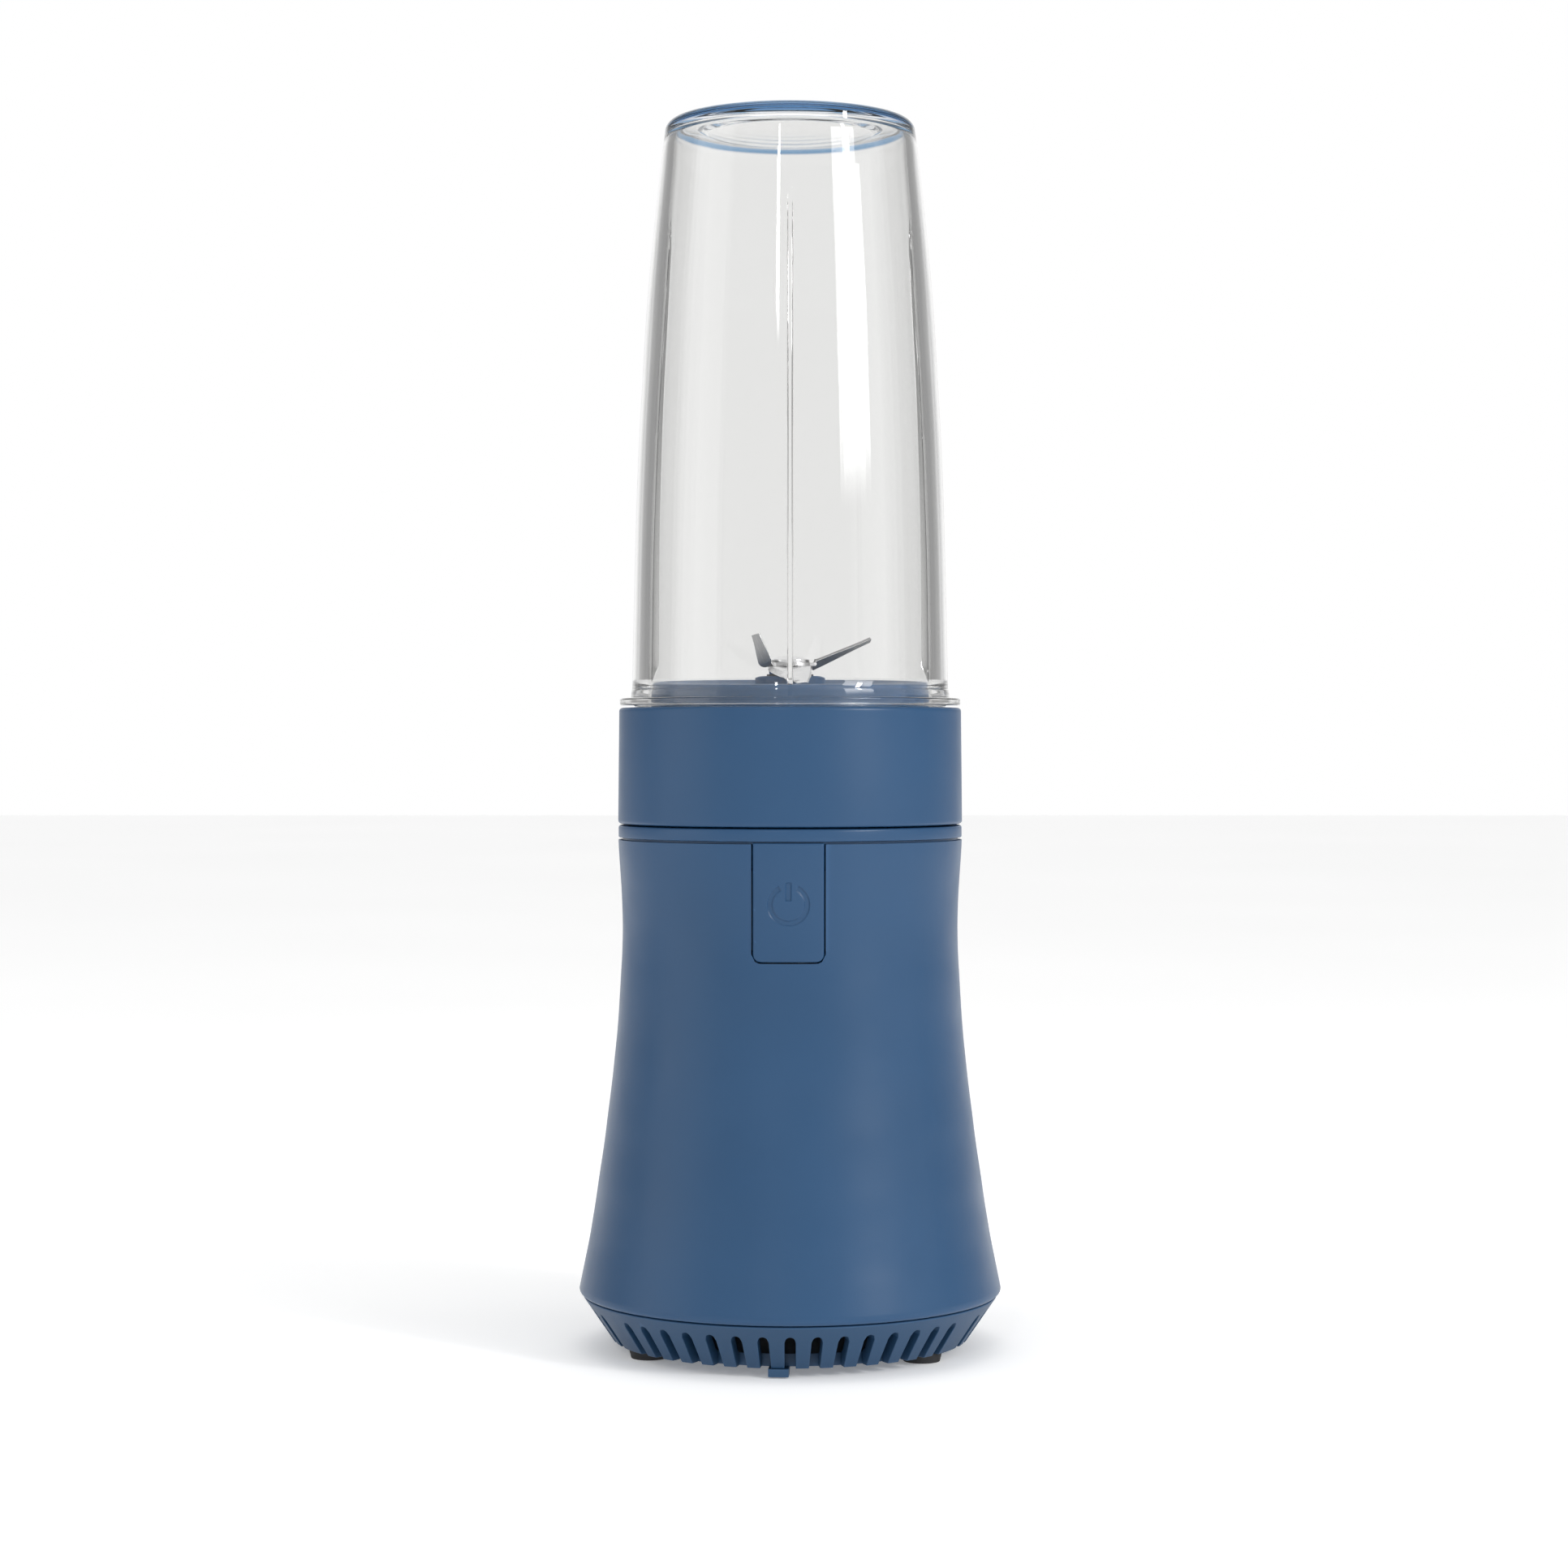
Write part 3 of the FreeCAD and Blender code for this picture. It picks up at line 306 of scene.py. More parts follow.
def rounded(corners, steps=6):
    """An outline (radius, height) with its corners rounded: corners are (radius, height, rounding)."""
    points = []
    count = len(corners)
    for index, corner in enumerate(corners):
        here = Vector((corner[0], corner[1]))
        rounding = corner[2] if len(corner) > 2 else 0
        if rounding <= 0:
            points.append(here)
            continue
        back = Vector(corners[index - 1][:2]) - here
        onward = Vector(corners[(index + 1) % count][:2]) - here
        turn = back.angle(onward)
        reach = rounding / math.tan(turn / 2)
        reach = min(reach, back.length * 0.49, onward.length * 0.49)
        rounding = reach * math.tan(turn / 2)
        bisector = (back.normalized() + onward.normalized()).normalized()
        centre = here + bisector * (rounding / math.sin(turn / 2))
        first = here + back.normalized() * reach - centre
        last = here + onward.normalized() * reach - centre
        sweep = first.angle_signed(last)
        for step in range(steps + 1):
            angle = -sweep * step / steps
            turned = Vector((first.x * math.cos(angle) - first.y * math.sin(angle),
                             first.x * math.sin(angle) + first.y * math.cos(angle)))
            points.append(centre + turned)
    return points


def even_turn(segments):
    """Angles of a full turn in equal steps."""
    return [TAU * step / segments for step in range(segments)]


def lathe(name, outline, body, slot, replaced, angles, shape=None, sharp=SOFT_ANGLE):
    """Turns a closed outline about the axis; shape may move each point (radius, angle, height, index)."""
    vertices = []
    for angle in angles:
        for index, (radius, height) in enumerate(outline):
            if shape:
                radius, height = shape(radius, angle, height, index)
            vertices.append((radius * math.cos(angle), radius * math.sin(angle), height))
    rows = len(outline)
    turns = len(angles)
    faces = []
    for turn in range(turns):
        here, following = turn * rows, (turn + 1) % turns * rows
        for index in range(rows):
            onward = (index + 1) % rows
            faces.append((here + index, following + index, following + onward, here + onward))
    new_piece(name, vertices, faces, body, slot, replaced, sharp)


def clean(piece):
    """Joins coincident points, drops collapsed faces and turns every face outwards."""
    tidy = bmesh.new()
    tidy.from_mesh(piece.data)
    bmesh.ops.remove_doubles(tidy, verts=tidy.verts, dist=WELD_REACH)
    bmesh.ops.dissolve_degenerate(tidy, edges=tidy.edges, dist=1e-7)
    loose = [edge for edge in tidy.edges if not edge.link_faces]
    bmesh.ops.delete(tidy, geom=loose, context="EDGES")
    bmesh.ops.recalc_face_normals(tidy, faces=tidy.faces)
    tidy.to_mesh(piece.data)
    tidy.free()


def smooth_step(value, low, high):
    """Rises smoothly from 0 at low to 1 at high."""
    share = min(1, max(0, (value - low) / (high - low)))
    return share * share * (3 - 2 * share)


def curve_through(points, samples):
    """Heights and radii on a smooth natural curve through a few (height, radius) points."""
    heights = [point[0] for point in points]
    radii = [point[1] for point in points]
    slopes = []
    for index in range(len(points)):
        low, high = max(0, index - 1), min(len(points) - 1, index + 1)
        slopes.append((radii[high] - radii[low]) / (heights[high] - heights[low]))
    result = []
    for step in range(samples + 1):
        height = heights[0] + (heights[-1] - heights[0]) * step / samples
        index = min(len(points) - 2, max(0, bisect.bisect_right(heights, height) - 1))
        span = heights[index + 1] - heights[index]
        share = (height - heights[index]) / span
        radius = ((2 * share ** 3 - 3 * share ** 2 + 1) * radii[index]
                  + (share ** 3 - 2 * share ** 2 + share) * span * slopes[index]
                  + (-2 * share ** 3 + 3 * share ** 2) * radii[index + 1]
                  + (share ** 3 - share ** 2) * span * slopes[index + 1])
        result.append((radius, height))
    return result


def thread_ridge(angle, height, start):
    """How far a triple thread stands out at an angle and height: 1 on its crest."""
    third = TAU / 3
    along = (angle % third) / third
    middle = start + THREAD_LEAD / 3 * along
    across = abs(height - middle)
    ends = smooth_step(along, 0.0, 0.06) * (1 - smooth_step(along, 0.94, 1.0))
    return (1 - smooth_step(across, 0.42, 0.82)) * ends


# ------------------------------------------------------------------ cup
def cup():
    """Clear cup: one lathe with four ribs inside and a triple thread on the neck."""
    mouth = CUP_LOW.z
    top = CUP_HIGH.z
    flange = CUP_HIGH.x
    neck = flange - 3.8
    neck_bore = flange - 7.2
    flange_low = mouth + 12.6
    flange_high = flange_low + 1.8
    fillet_base, fillet_width, fillet_height = flange - 2.8, 0.35, 2.4
    quarter = math.pi / 2
    ceiling = top - 1.0
    outer_side = curve_through([
        (flange_high + fillet_height, fillet_base - fillet_width), (mouth + 40, flange - 3.65),
        (mouth + 60, flange - 4.15), (mouth + 77, flange - 4.75), (mouth + 96, flange - 5.8),
        (mouth + 114.5, flange - 6.9),
        (mouth + 133.5, flange - 8.6), (mouth + 152, flange - 10.5), (top - 2.8, flange - 11.55)], 60)
    inner_side = curve_through([
        (mouth + 17, flange - 7.2), (mouth + 60, flange - 8.0), (mouth + 96, flange - 9.6),
        (mouth + 133, flange - 12.1), (top - 7.2, flange - 14.0)], 48)
    outline = rounded([(neck_bore, mouth, 0.5), (neck, mouth, 0.5), (neck, flange_low, 0)])[:-1]
    row_height, threaded = 0.22, 11.4
    outline += [Vector((neck, mouth + 0.7 + row_height * row)) for row in range(int(threaded / row_height))]
    outline += rounded([
        (neck, flange_low - 2, 0), (neck, flange_low, 0.3), (flange, flange_low, 0.5),
        (flange, flange_high, 0.5), (fillet_base, flange_high, 0)])[1:]
    for step in range(1, 6):
        angle = quarter * step / 6
        outline.append(Vector((fillet_base - fillet_width * (1 - math.cos(angle)),
                               flange_high + fillet_height * math.sin(angle) ** 2)))
    outline += [Vector(point) for point in outer_side]
    corner = 2.8
    centre = Vector((outer_side[-1][0] - corner, top - corner))
    for step in range(1, 11):
        angle = quarter * step / 10
        outline.append(centre + Vector((corner * math.cos(angle), corner * math.sin(angle))))
    outline += rounded([(centre.x, top, 0), (23.2, top, 0.8), (21.8, ceiling, 0.8), (0, ceiling, 0)])[1:]
    outline += rounded([
        (0, ceiling, 0), (0, top - 3.9, 0), (21.5, top - 3.9, 2.5), (23.5, top - 3.0, 2.0),
        (inner_side[-1][0] - 0.4, top - 3.1, 3.6), (inner_side[-1][0], top - 7.2, 0)], 8)[1:-1]
    outline += [Vector(point) for point in reversed(inner_side)]
    first_inner = len(outline) - len(inner_side)

    rib_low, rib_high = mouth + 18.5, mouth + 138.5
    rib_low_depth, rib_high_depth = 2.3, 0.8
    fine = [0.12 * step - 1.8 for step in range(31)]
    near = math.radians(1.9)
    angles = [angle for angle in even_turn(240) if min(angle % quarter, quarter - angle % quarter) > near]
    for rib in range(4):
        angles += [(quarter * rib + math.radians(offset)) % TAU for offset in fine]
    angles.sort()

    def shape(radius, angle, height, index):
        if index >= first_inner:
            across = abs((angle + quarter / 2) % quarter - quarter / 2) * radius
            crown = 1 - smooth_step(across, 0.45, 0.68)
            rise = smooth_step(height, rib_low, rib_low + 3.5)
            rise *= 1 - smooth_step(height, rib_high - 9, rib_high)
            share = (height - rib_low) / (rib_high - rib_low)
            depth = rib_low_depth + (rib_high_depth - rib_low_depth) * share
            return radius - depth * crown * rise, height
        if abs(radius - neck) < 1e-6 and height < flange_low:
            return radius + THREAD_HEIGHT * thread_ridge(angle, height, mouth + 1.2), height
        return radius, height

    lathe("clear_cup", outline, "cup", "clear_cup", "cup", angles, shape, 50)


# ------------------------------------------------------------------ blade unit
def collar():
    """Blue collar with an inner triple thread, a floor and a dished plug round the bearing."""
    low = COLLAR_LOW.z
    outer = COLLAR_HIGH.x
    boss_top = COLLAR_HIGH.z
    top = low + 29.6
    bore = outer - 2.8
    web = low + 15.6
    web_low = low + 13.1
    dish, dish_radius = low + 34.6, 33.2
    sleeve_bore, sleeve_low = 6.22, low + 9.1
    row_height = 0.25
    side = curve_through([(low + 1.2, outer), (low + 15, outer - 0.12), (top - 1.2, outer - 0.25)], 12)
    outline = rounded([(outer - 2.5, low, 0.3), (outer, low, 0.8), (outer, low + 6, 0)])[:-1]
    outline += [Vector(point) for point in side]
    outline += rounded([(outer - 0.25, top - 6, 0), (outer - 0.25, top, 0.9), (bore, top, 0.4),
                        (bore, top - 2, 0)])[1:-1]
    rows = int((top - web - 1.4) / row_height)
    outline += [Vector((bore, top - 0.6 - row_height * row)) for row in range(rows)]
    outline += rounded([
        (bore, web + 3, 0), (bore, web, 0.2), (35.9, web, 0.5), (35.6, dish, 1.7), (dish_radius, dish, 1.0),
        (12, low + 26.1, 3.0), (9, low + 26.6, 1.5), (9, boss_top, 1.6), (sleeve_bore, boss_top, 0.2),
        (sleeve_bore, sleeve_low, 0.2), (9, sleeve_low, 0.4), (9, low + 23.1, 1), (12, low + 23.5, 1),
        (33, dish - 3.5, 1), (dish_radius, web_low, 0.3), (outer - 2.5, web_low, 0.3)])[1:]

    def shape(radius, angle, height, index):
        if abs(radius - bore) < 1e-6 and height > web + 0.5:
            return radius - THREAD_HEIGHT * thread_ridge(angle, height, web + 5.2), height
        return radius, height

    lathe("blade_collar", outline, "blade_unit", "shell_blue", "blade_base", even_turn(240), shape)


def well_ring():
    """Blue ring under the collar, with the spigot and well that it seats on."""
    low, top, wide = CAP_LOW.z, CAP_HIGH.z, CAP_HIGH.x
    hub, floor = 12, low + 3.0
    ring_low, ring_high = low + 6.4, low + 9.5
    groove = ring_low - 0.55
    spigot, well = wide - 3.8, wide - 6.6
    outline = rounded([
        (hub, low, 0.3), (40.4, low, 0.5), (40.4, groove, 0), (wide - 1.0, groove, 0),
        (wide - 1.0, ring_low, 0),
        (wide, ring_low, 0.35), (wide, ring_high, 0.6), (spigot, ring_high, 0.4), (spigot, top, 1.2),
        (well, top, 1.0), (well, floor, 1.2), (hub, floor, 0.4)])
    lathe("well_ring", outline, "motor_base", "shell_blue", "well_cap", even_turn(240))


# ------------------------------------------------------------------ motor housing, button and skirt
FOOT_ROUNDING = 1.2
WAIST = 42.95
WAIST_HEIGHT = 108.0
BUTTON_SHIFT = (BUTTON_LOW.x + BUTTON_HIGH.x) / 2
STEM_HEIGHT = 115.0
WINDOW_HALF = 9.1
WINDOW_LOW = BUTTON_LOW.z - 0.3
WINDOW_CORNER = 2.3
KEY_HALF = 8.8
KEY_CORNER = 2.0
SIGN_RADIUS = 4.55
SIGN_DEPTH = 0.32
SLOT_HALF = 1.35
SLOT_TOP = 11.0
SLOT_PITCH = math.radians(7.5)
SLOTS_IN_ROW = 15
PLATE_GAP = 0.5
GLAND_HOLE = 5.05


def housing_curve():
    """The housing's outer side from its foot over the waist to its top edge, as (radius, height) points."""
    flare = HOUSING_HIGH.x
    return curve_through([
        (15.2, flare), (17.3, flare - 0.42), (22.5, 52.5), (27.7, 51.45), (33.0, 50.55), (38.0, 49.75),
        (43.3, 49.0), (48.5, 48.2), (53.7, 47.45), (59.0, 46.8), (64.0, 46.15), (69.4, 45.5), (74.6, 44.95),
        (80.0, 44.4), (85.0, 44.0), (90.0, 43.7), (95.4, 43.4), (100.6, 43.1), (WAIST_HEIGHT, WAIST),
        (116.0, 43.2), (121.5, 43.55), (126.7, 43.9), (HOUSING_HIGH.z, 44.05)], 200)


def radius_at(curve, height):
    """The radius of a dense (radius, height) curve at a height."""
    heights = [point[1] for point in curve]
    index = min(len(curve) - 2, max(0, bisect.bisect_right(heights, height) - 1))
    (low_radius, low), (high_radius, high) = curve[index], curve[index + 1]
    share = (height - low) / (high - low)
    return low_radius + (high_radius - low_radius) * share


def on_turn(radius, angle, height):
    """A point at an angle from the front, positive towards +X."""
    return (radius * math.sin(angle), -radius * math.cos(angle), height)


def wall_with_openings(columns, levels, outer, inner, cap, is_open, first_open, last_open):
    """Vertices and faces of a turned wall with openings cut right through.

    outer and inner give a point for a column and a level. cap gives the points that lead from the outer
    side's last level over the top to the inner side's last level. In open columns the levels from
    first_open to last_open are left out and the opening gets its own four walls.
    """
    vertices = []
    index = {}
    count = len(columns)
    top_level = levels - 1
    for place, column in enumerate(columns):
        for level in range(levels):
            index["outer", place, level] = len(vertices)
            vertices.append(outer(column, level))
            index["inner", place, level] = len(vertices)
            vertices.append(inner(column, level))
        over = cap(column)
        index["cap", place] = (len(vertices), len(over))
        vertices.extend(over)
    faces = []
    for place in range(count):
        following = (place + 1) % count
        opened = is_open(columns[place], columns[following])
        was_open = is_open(columns[place - 1], columns[place])
        for level in range(top_level):
            if opened and first_open <= level < last_open:
                continue
            for side in ("outer", "inner"):
                faces.append((index[side, place, level], index[side, following, level],
                              index[side, following, level + 1], index[side, place, level + 1]))
        if opened != was_open:
            for level in range(first_open, last_open):
                faces.append((index["outer", place, level], index["outer", place, level + 1],
                              index["inner", place, level + 1], index["inner", place, level]))
        shut = [("outer", "inner", 0)] if not (opened and first_open == 0) else []
        if opened and first_open > 0:
            shut.append(("outer", "inner", first_open))
        if opened and last_open < top_level:
            shut.append(("outer", "inner", last_open))
        for first, second, level in shut:
            faces.append((index[first, place, level], index[first, following, level],
                          index[second, following, level], index[second, place, level]))
        if not (opened and last_open == top_level):
            strips = []
            for spot in (place, following):
                start, length = index["cap", spot]
                strips.append([index["outer", spot, top_level], *range(start, start + length),
                               index["inner", spot, top_level]])
            for step in range(len(strips[0]) - 1):
                faces.append((strips[0][step], strips[1][step], strips[1][step + 1], strips[0][step + 1]))
        if opened != was_open and last_open == top_level:
            start, length = index["cap", place]
            faces.append((index["outer", place, top_level], *range(start, start + length),
                          index["inner", place, top_level]))
    return vertices, faces


def soften(piece, width, segments=3, angle=SOFT_ANGLE):
    """Rounds a piece's sharp edges by a width in millimetres."""
    bevel = piece.modifiers.new("soft_edges", "BEVEL")
    bevel.width = width * MM
    bevel.segments = segments
    bevel.limit_method = "ANGLE"
    bevel.angle_limit = math.radians(angle)


def bored_hole(piece, radius, centre, depth):
    """Cuts a round hole from front to back through a piece, about a centre in millimetres."""
    bpy.ops.mesh.primitive_cylinder_add(vertices=64, radius=radius * MM, depth=depth * MM)
    cutter = bpy.context.object
    cutter.location = centre * MM
    cutter.rotation_euler = (-TAU / 4, 0, 0)
    cut = piece.modifiers.new("hole", "BOOLEAN")
    cut.operation = "DIFFERENCE"
    cut.solver = "EXACT"
    cut.object = cutter
    bpy.context.view_layer.update()
    bored = bpy.data.meshes.new_from_object(piece.evaluated_get(bpy.context.evaluated_depsgraph_get()))
    piece.modifiers.remove(cut)
    piece.data = bored
    bpy.data.objects.remove(cutter)
    clean(piece)
    smooth_by_angle(piece, SOFT_ANGLE)


def motor_housing():
    """Waisted and flared wall with the notch for the button, open at its top, and a hole for the gland."""
    foot, top = HOUSING_LOW.z, HOUSING_HIGH.z
    wall = 2.4
    even_top = 95.0
    side = housing_curve()
    half_steps = 10
    notch_radius = 43.2
    edge = WINDOW_HALF / notch_radius
    lean = BUTTON_SHIFT / notch_radius
    ring_steps = 170
    span = TAU - 2 * edge
    columns = [("x", BUTTON_SHIFT + WINDOW_HALF * step / half_steps)
               for step in range(-half_steps, half_steps + 1)]
    columns += [("turn", lean + edge + span * step / ring_steps) for step in range(1, ring_steps)]
    foot_levels, low_levels, blend_levels, window_levels = 5, 84, 7, 26

    def notch_floor(x):
        beyond = abs(x - BUTTON_SHIFT) - (WINDOW_HALF - WINDOW_CORNER)
        if beyond <= 0:
            return WINDOW_LOW
        return WINDOW_LOW + WINDOW_CORNER - math.sqrt(max(0, WINDOW_CORNER ** 2 - beyond ** 2))

    def height_of(column, level):
        kind, spot = column
        even_levels = low_levels - blend_levels
        if level <= even_levels:
            start = foot + FOOT_ROUNDING
            return start + (even_top - start) * level / even_levels
        floor = notch_floor(spot) if kind == "x" else WINDOW_LOW + WINDOW_CORNER
        if level <= low_levels:
            return even_top + (floor - even_top) * (level - even_levels) / blend_levels
        return floor + (top - floor) * (level - low_levels) / window_levels

    def point(column, radius, height):
        kind, spot = column
        angle = math.asin(spot / radius) if kind == "x" else spot
        return on_turn(radius, angle, height)

    def outer(column, level):
        if level < foot_levels:
            turn = TAU / 4 * level / foot_levels
            return point(column, HOUSING_HIGH.x - FOOT_ROUNDING * (1 - math.sin(turn)),
                         foot + FOOT_ROUNDING * (1 - math.cos(turn)))
        height = height_of(column, level - foot_levels)
        return point(column, radius_at(side, height), height)

    def inner(column, level):
        if level < foot_levels:
            return point(column, HOUSING_HIGH.x - wall, foot + FOOT_ROUNDING * level / foot_levels)
        height = height_of(column, level - foot_levels)
        return point(column, radius_at(side, height) - wall, height)

    top_level = foot_levels + low_levels + window_levels
    vertices, faces = wall_with_openings(
        columns, top_level + 1, outer, inner, lambda column: [],
        lambda first, second: first[0] == "x" and second[0] == "x", foot_levels + low_levels, top_level)
    piece = new_piece("housing_shell", vertices, faces, "motor_base", "shell_blue", "motor_housing")
    gland_low, gland_high = box_mm("cord_gland")
    gland_height = (gland_low.z + gland_high.z) / 2
    bored_hole(piece, GLAND_HOLE, Vector((0, HOUSING_HIGH.x, gland_height)), 18)
    soften(piece, 0.28)


def key_depth(x, height):
    """How far the key's face lies under its full curve: rounded edges and the engraved power sign."""
    half_height = (BUTTON_HIGH.z - BUTTON_LOW.z) / 2
    centre = (BUTTON_HIGH.z + BUTTON_LOW.z) / 2
    corner = KEY_CORNER if height < centre + KEY_CORNER / 2 else 0.5
    reach_x = abs(x) - (KEY_HALF - corner)
    reach_z = abs(height - centre) - (half_height - corner)
    inside = corner - (math.hypot(max(reach_x, 0), max(reach_z, 0)) + min(max(reach_x, reach_z), 0))
    rounding = 0.55
    missing = max(0.0, rounding - max(inside, 0.0))
    edge = rounding - math.sqrt(max(0.0, rounding ** 2 - missing ** 2))

    up = height - STEM_HEIGHT
    out = math.hypot(x, up)
    ring = abs(out - SIGN_RADIUS) - 0.65
    gap = (math.radians(28) - abs(math.atan2(x, up))) * max(out, 1.0)
    bar = max(abs(x) - 0.7, abs(up - 3.2) - 2.2)
    distance = min(max(ring, gap), bar)
    return edge + SIGN_DEPTH * (1 - smooth_step(distance, -0.16, 0.10))


def power_button():
    """Curved key with an engraved power sign, a rim behind the wall and a stem for the switch."""
    top, low = BUTTON_HIGH.z, BUTTON_LOW.z
    side = housing_curve()
    thickness = 2.6
    spacing = 0.17
    fine = [0.0, 0.03, 0.08, 0.16, 0.27, 0.40, 0.55]

    def spread(length):
        count = int((length - 2 * fine[-1]) / spacing)
        inside = [fine[-1] + (length - 2 * fine[-1]) * place / count for place in range(1, count)]
        return fine + inside + [length - spot for spot in reversed(fine)]

    xs = [spot - KEY_HALF for spot in spread(2 * KEY_HALF)]
    shares = [spot / (top - low) for spot in spread(top - low)]
    vertices, faces = [], []

    def floor_at(x):
        beyond = abs(x) - (KEY_HALF - KEY_CORNER)
        if beyond <= 0:
            return low
        return low + KEY_CORNER - math.sqrt(max(0, KEY_CORNER ** 2 - beyond ** 2))

    rows = len(shares)
    for depth in (0, thickness):
        for x in xs:
            floor = floor_at(x)
            for share in shares:
                height = floor + (top - floor) * share
                radius = radius_at(side, min(height, HOUSING_HIGH.z)) - 0.05 - depth
                if depth == 0:
                    radius -= key_depth(x, height)
                here = x + BUTTON_SHIFT
                vertices.append((here, -math.sqrt(radius ** 2 - here ** 2), height))
    sheet = len(xs) * rows
    for column in range(len(xs) - 1):
        for row in range(rows - 1):
            corner = column * rows + row
            faces.append((corner, corner + rows, corner + rows + 1, corner + 1))
            corner += sheet
            faces.append((corner, corner + 1, corner + rows + 1, corner + rows))
    border = ([column * rows for column in range(len(xs))]
              + [(len(xs) - 1) * rows + row for row in range(1, rows)]
              + [column * rows + rows - 1 for column in range(len(xs) - 2, -1, -1)]
              + [row for row in range(rows - 2, 0, -1)])
    for place, spot in enumerate(border):
        onward = border[(place + 1) % len(border)]
        faces.append((spot, spot + sheet, onward + sheet, onward))
    core_front, rim_front, rim_back = -41.6, -38.1, -37.1
    for half, front, back in ((7.5, core_front, rim_front), (10.8, rim_front, rim_back)):
        add_block(vertices, faces, (BUTTON_SHIFT - half, front, low + 3),
                  (BUTTON_SHIFT + half, back, STEM_HEIGHT + 8))
    add_rod(vertices, faces, Vector((BUTTON_SHIFT, rim_back, STEM_HEIGHT)), Vector((0, 1, 0)), 3.5, 4.0)
    new_piece("power_key", vertices, faces, "button", "shell_blue", "power_button")


def add_block(vertices, faces, low, high):
    """Adds a closed box to a mesh that is being made."""
    start = len(vertices)
    vertices.extend((x, y, z) for x in (low[0], high[0]) for y in (low[1], high[1])
                    for z in (low[2], high[2]))
    for face in ((0, 1, 3, 2), (4, 6, 7, 5), (0, 4, 5, 1), (2, 3, 7, 6), (0, 2, 6, 4), (1, 5, 7, 3)):
        faces.append(tuple(start + corner for corner in face))


def add_sections(vertices, faces, sections):
    """Adds a closed skin through sections with equal numbers of points, with flat ends."""
    begin = len(vertices)
    sides = len(sections[0])
    for section in sections:
        vertices.extend(tuple(point) for point in section)
    last = begin + (len(sections) - 1) * sides
    faces.append(tuple(begin + side for side in reversed(range(sides))))
    faces.append(tuple(last + side for side in range(sides)))
    for here in range(begin, last, sides):
        for side in range(sides):
            following = (side + 1) % sides
            faces.append((here + side, here + following, here + sides + following, here + sides + side))


def ring_of_points(centre, first, second, radius, sides):
    """Points round a circle whose plane holds two unit directions."""
    return [centre + (first * math.cos(turn) + second * math.sin(turn)) * radius for turn in even_turn(sides)]


def add_rod(vertices, faces, start, along, radius, length):
    """Adds a closed round rod to a mesh that is being made."""
    first = along.orthogonal().normalized()
    second = along.cross(first)
    add_sections(vertices, faces, [ring_of_points(start + along * end, first, second, radius, 48)
                                   for end in (0, length)])


def key_spring():
    """Coil spring between the key and the switch."""
    low, high = box_mm("button_spring")
    centre = (low + high) / 2
    wire = 0.45
    mean = (high.x - low.x) / 2 - wire
    turns, steps = 5, 36
    length = high.y - low.y - 2 * wire
    backwards = Vector((0, 1, 0))
    sections = []
    for step in range(turns * steps + 1):
        share = smooth_step(step / (turns * steps), -0.25, 1.25) * 1.455 - 0.2275
        rise = wire + length * min(1, max(0, share))
        turn = TAU * step / steps
        outwards = Vector((math.cos(turn), 0, math.sin(turn)))
        middle = Vector((centre.x, low.y + rise, centre.z)) + outwards * mean
        sections.append(ring_of_points(middle, outwards, backwards, wire, 12))
    vertices, faces = [], []
    add_sections(vertices, faces, sections)
    piece = new_piece("key_spring", vertices, faces, "button", "machined_steel", "button_spring")
    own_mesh(piece)


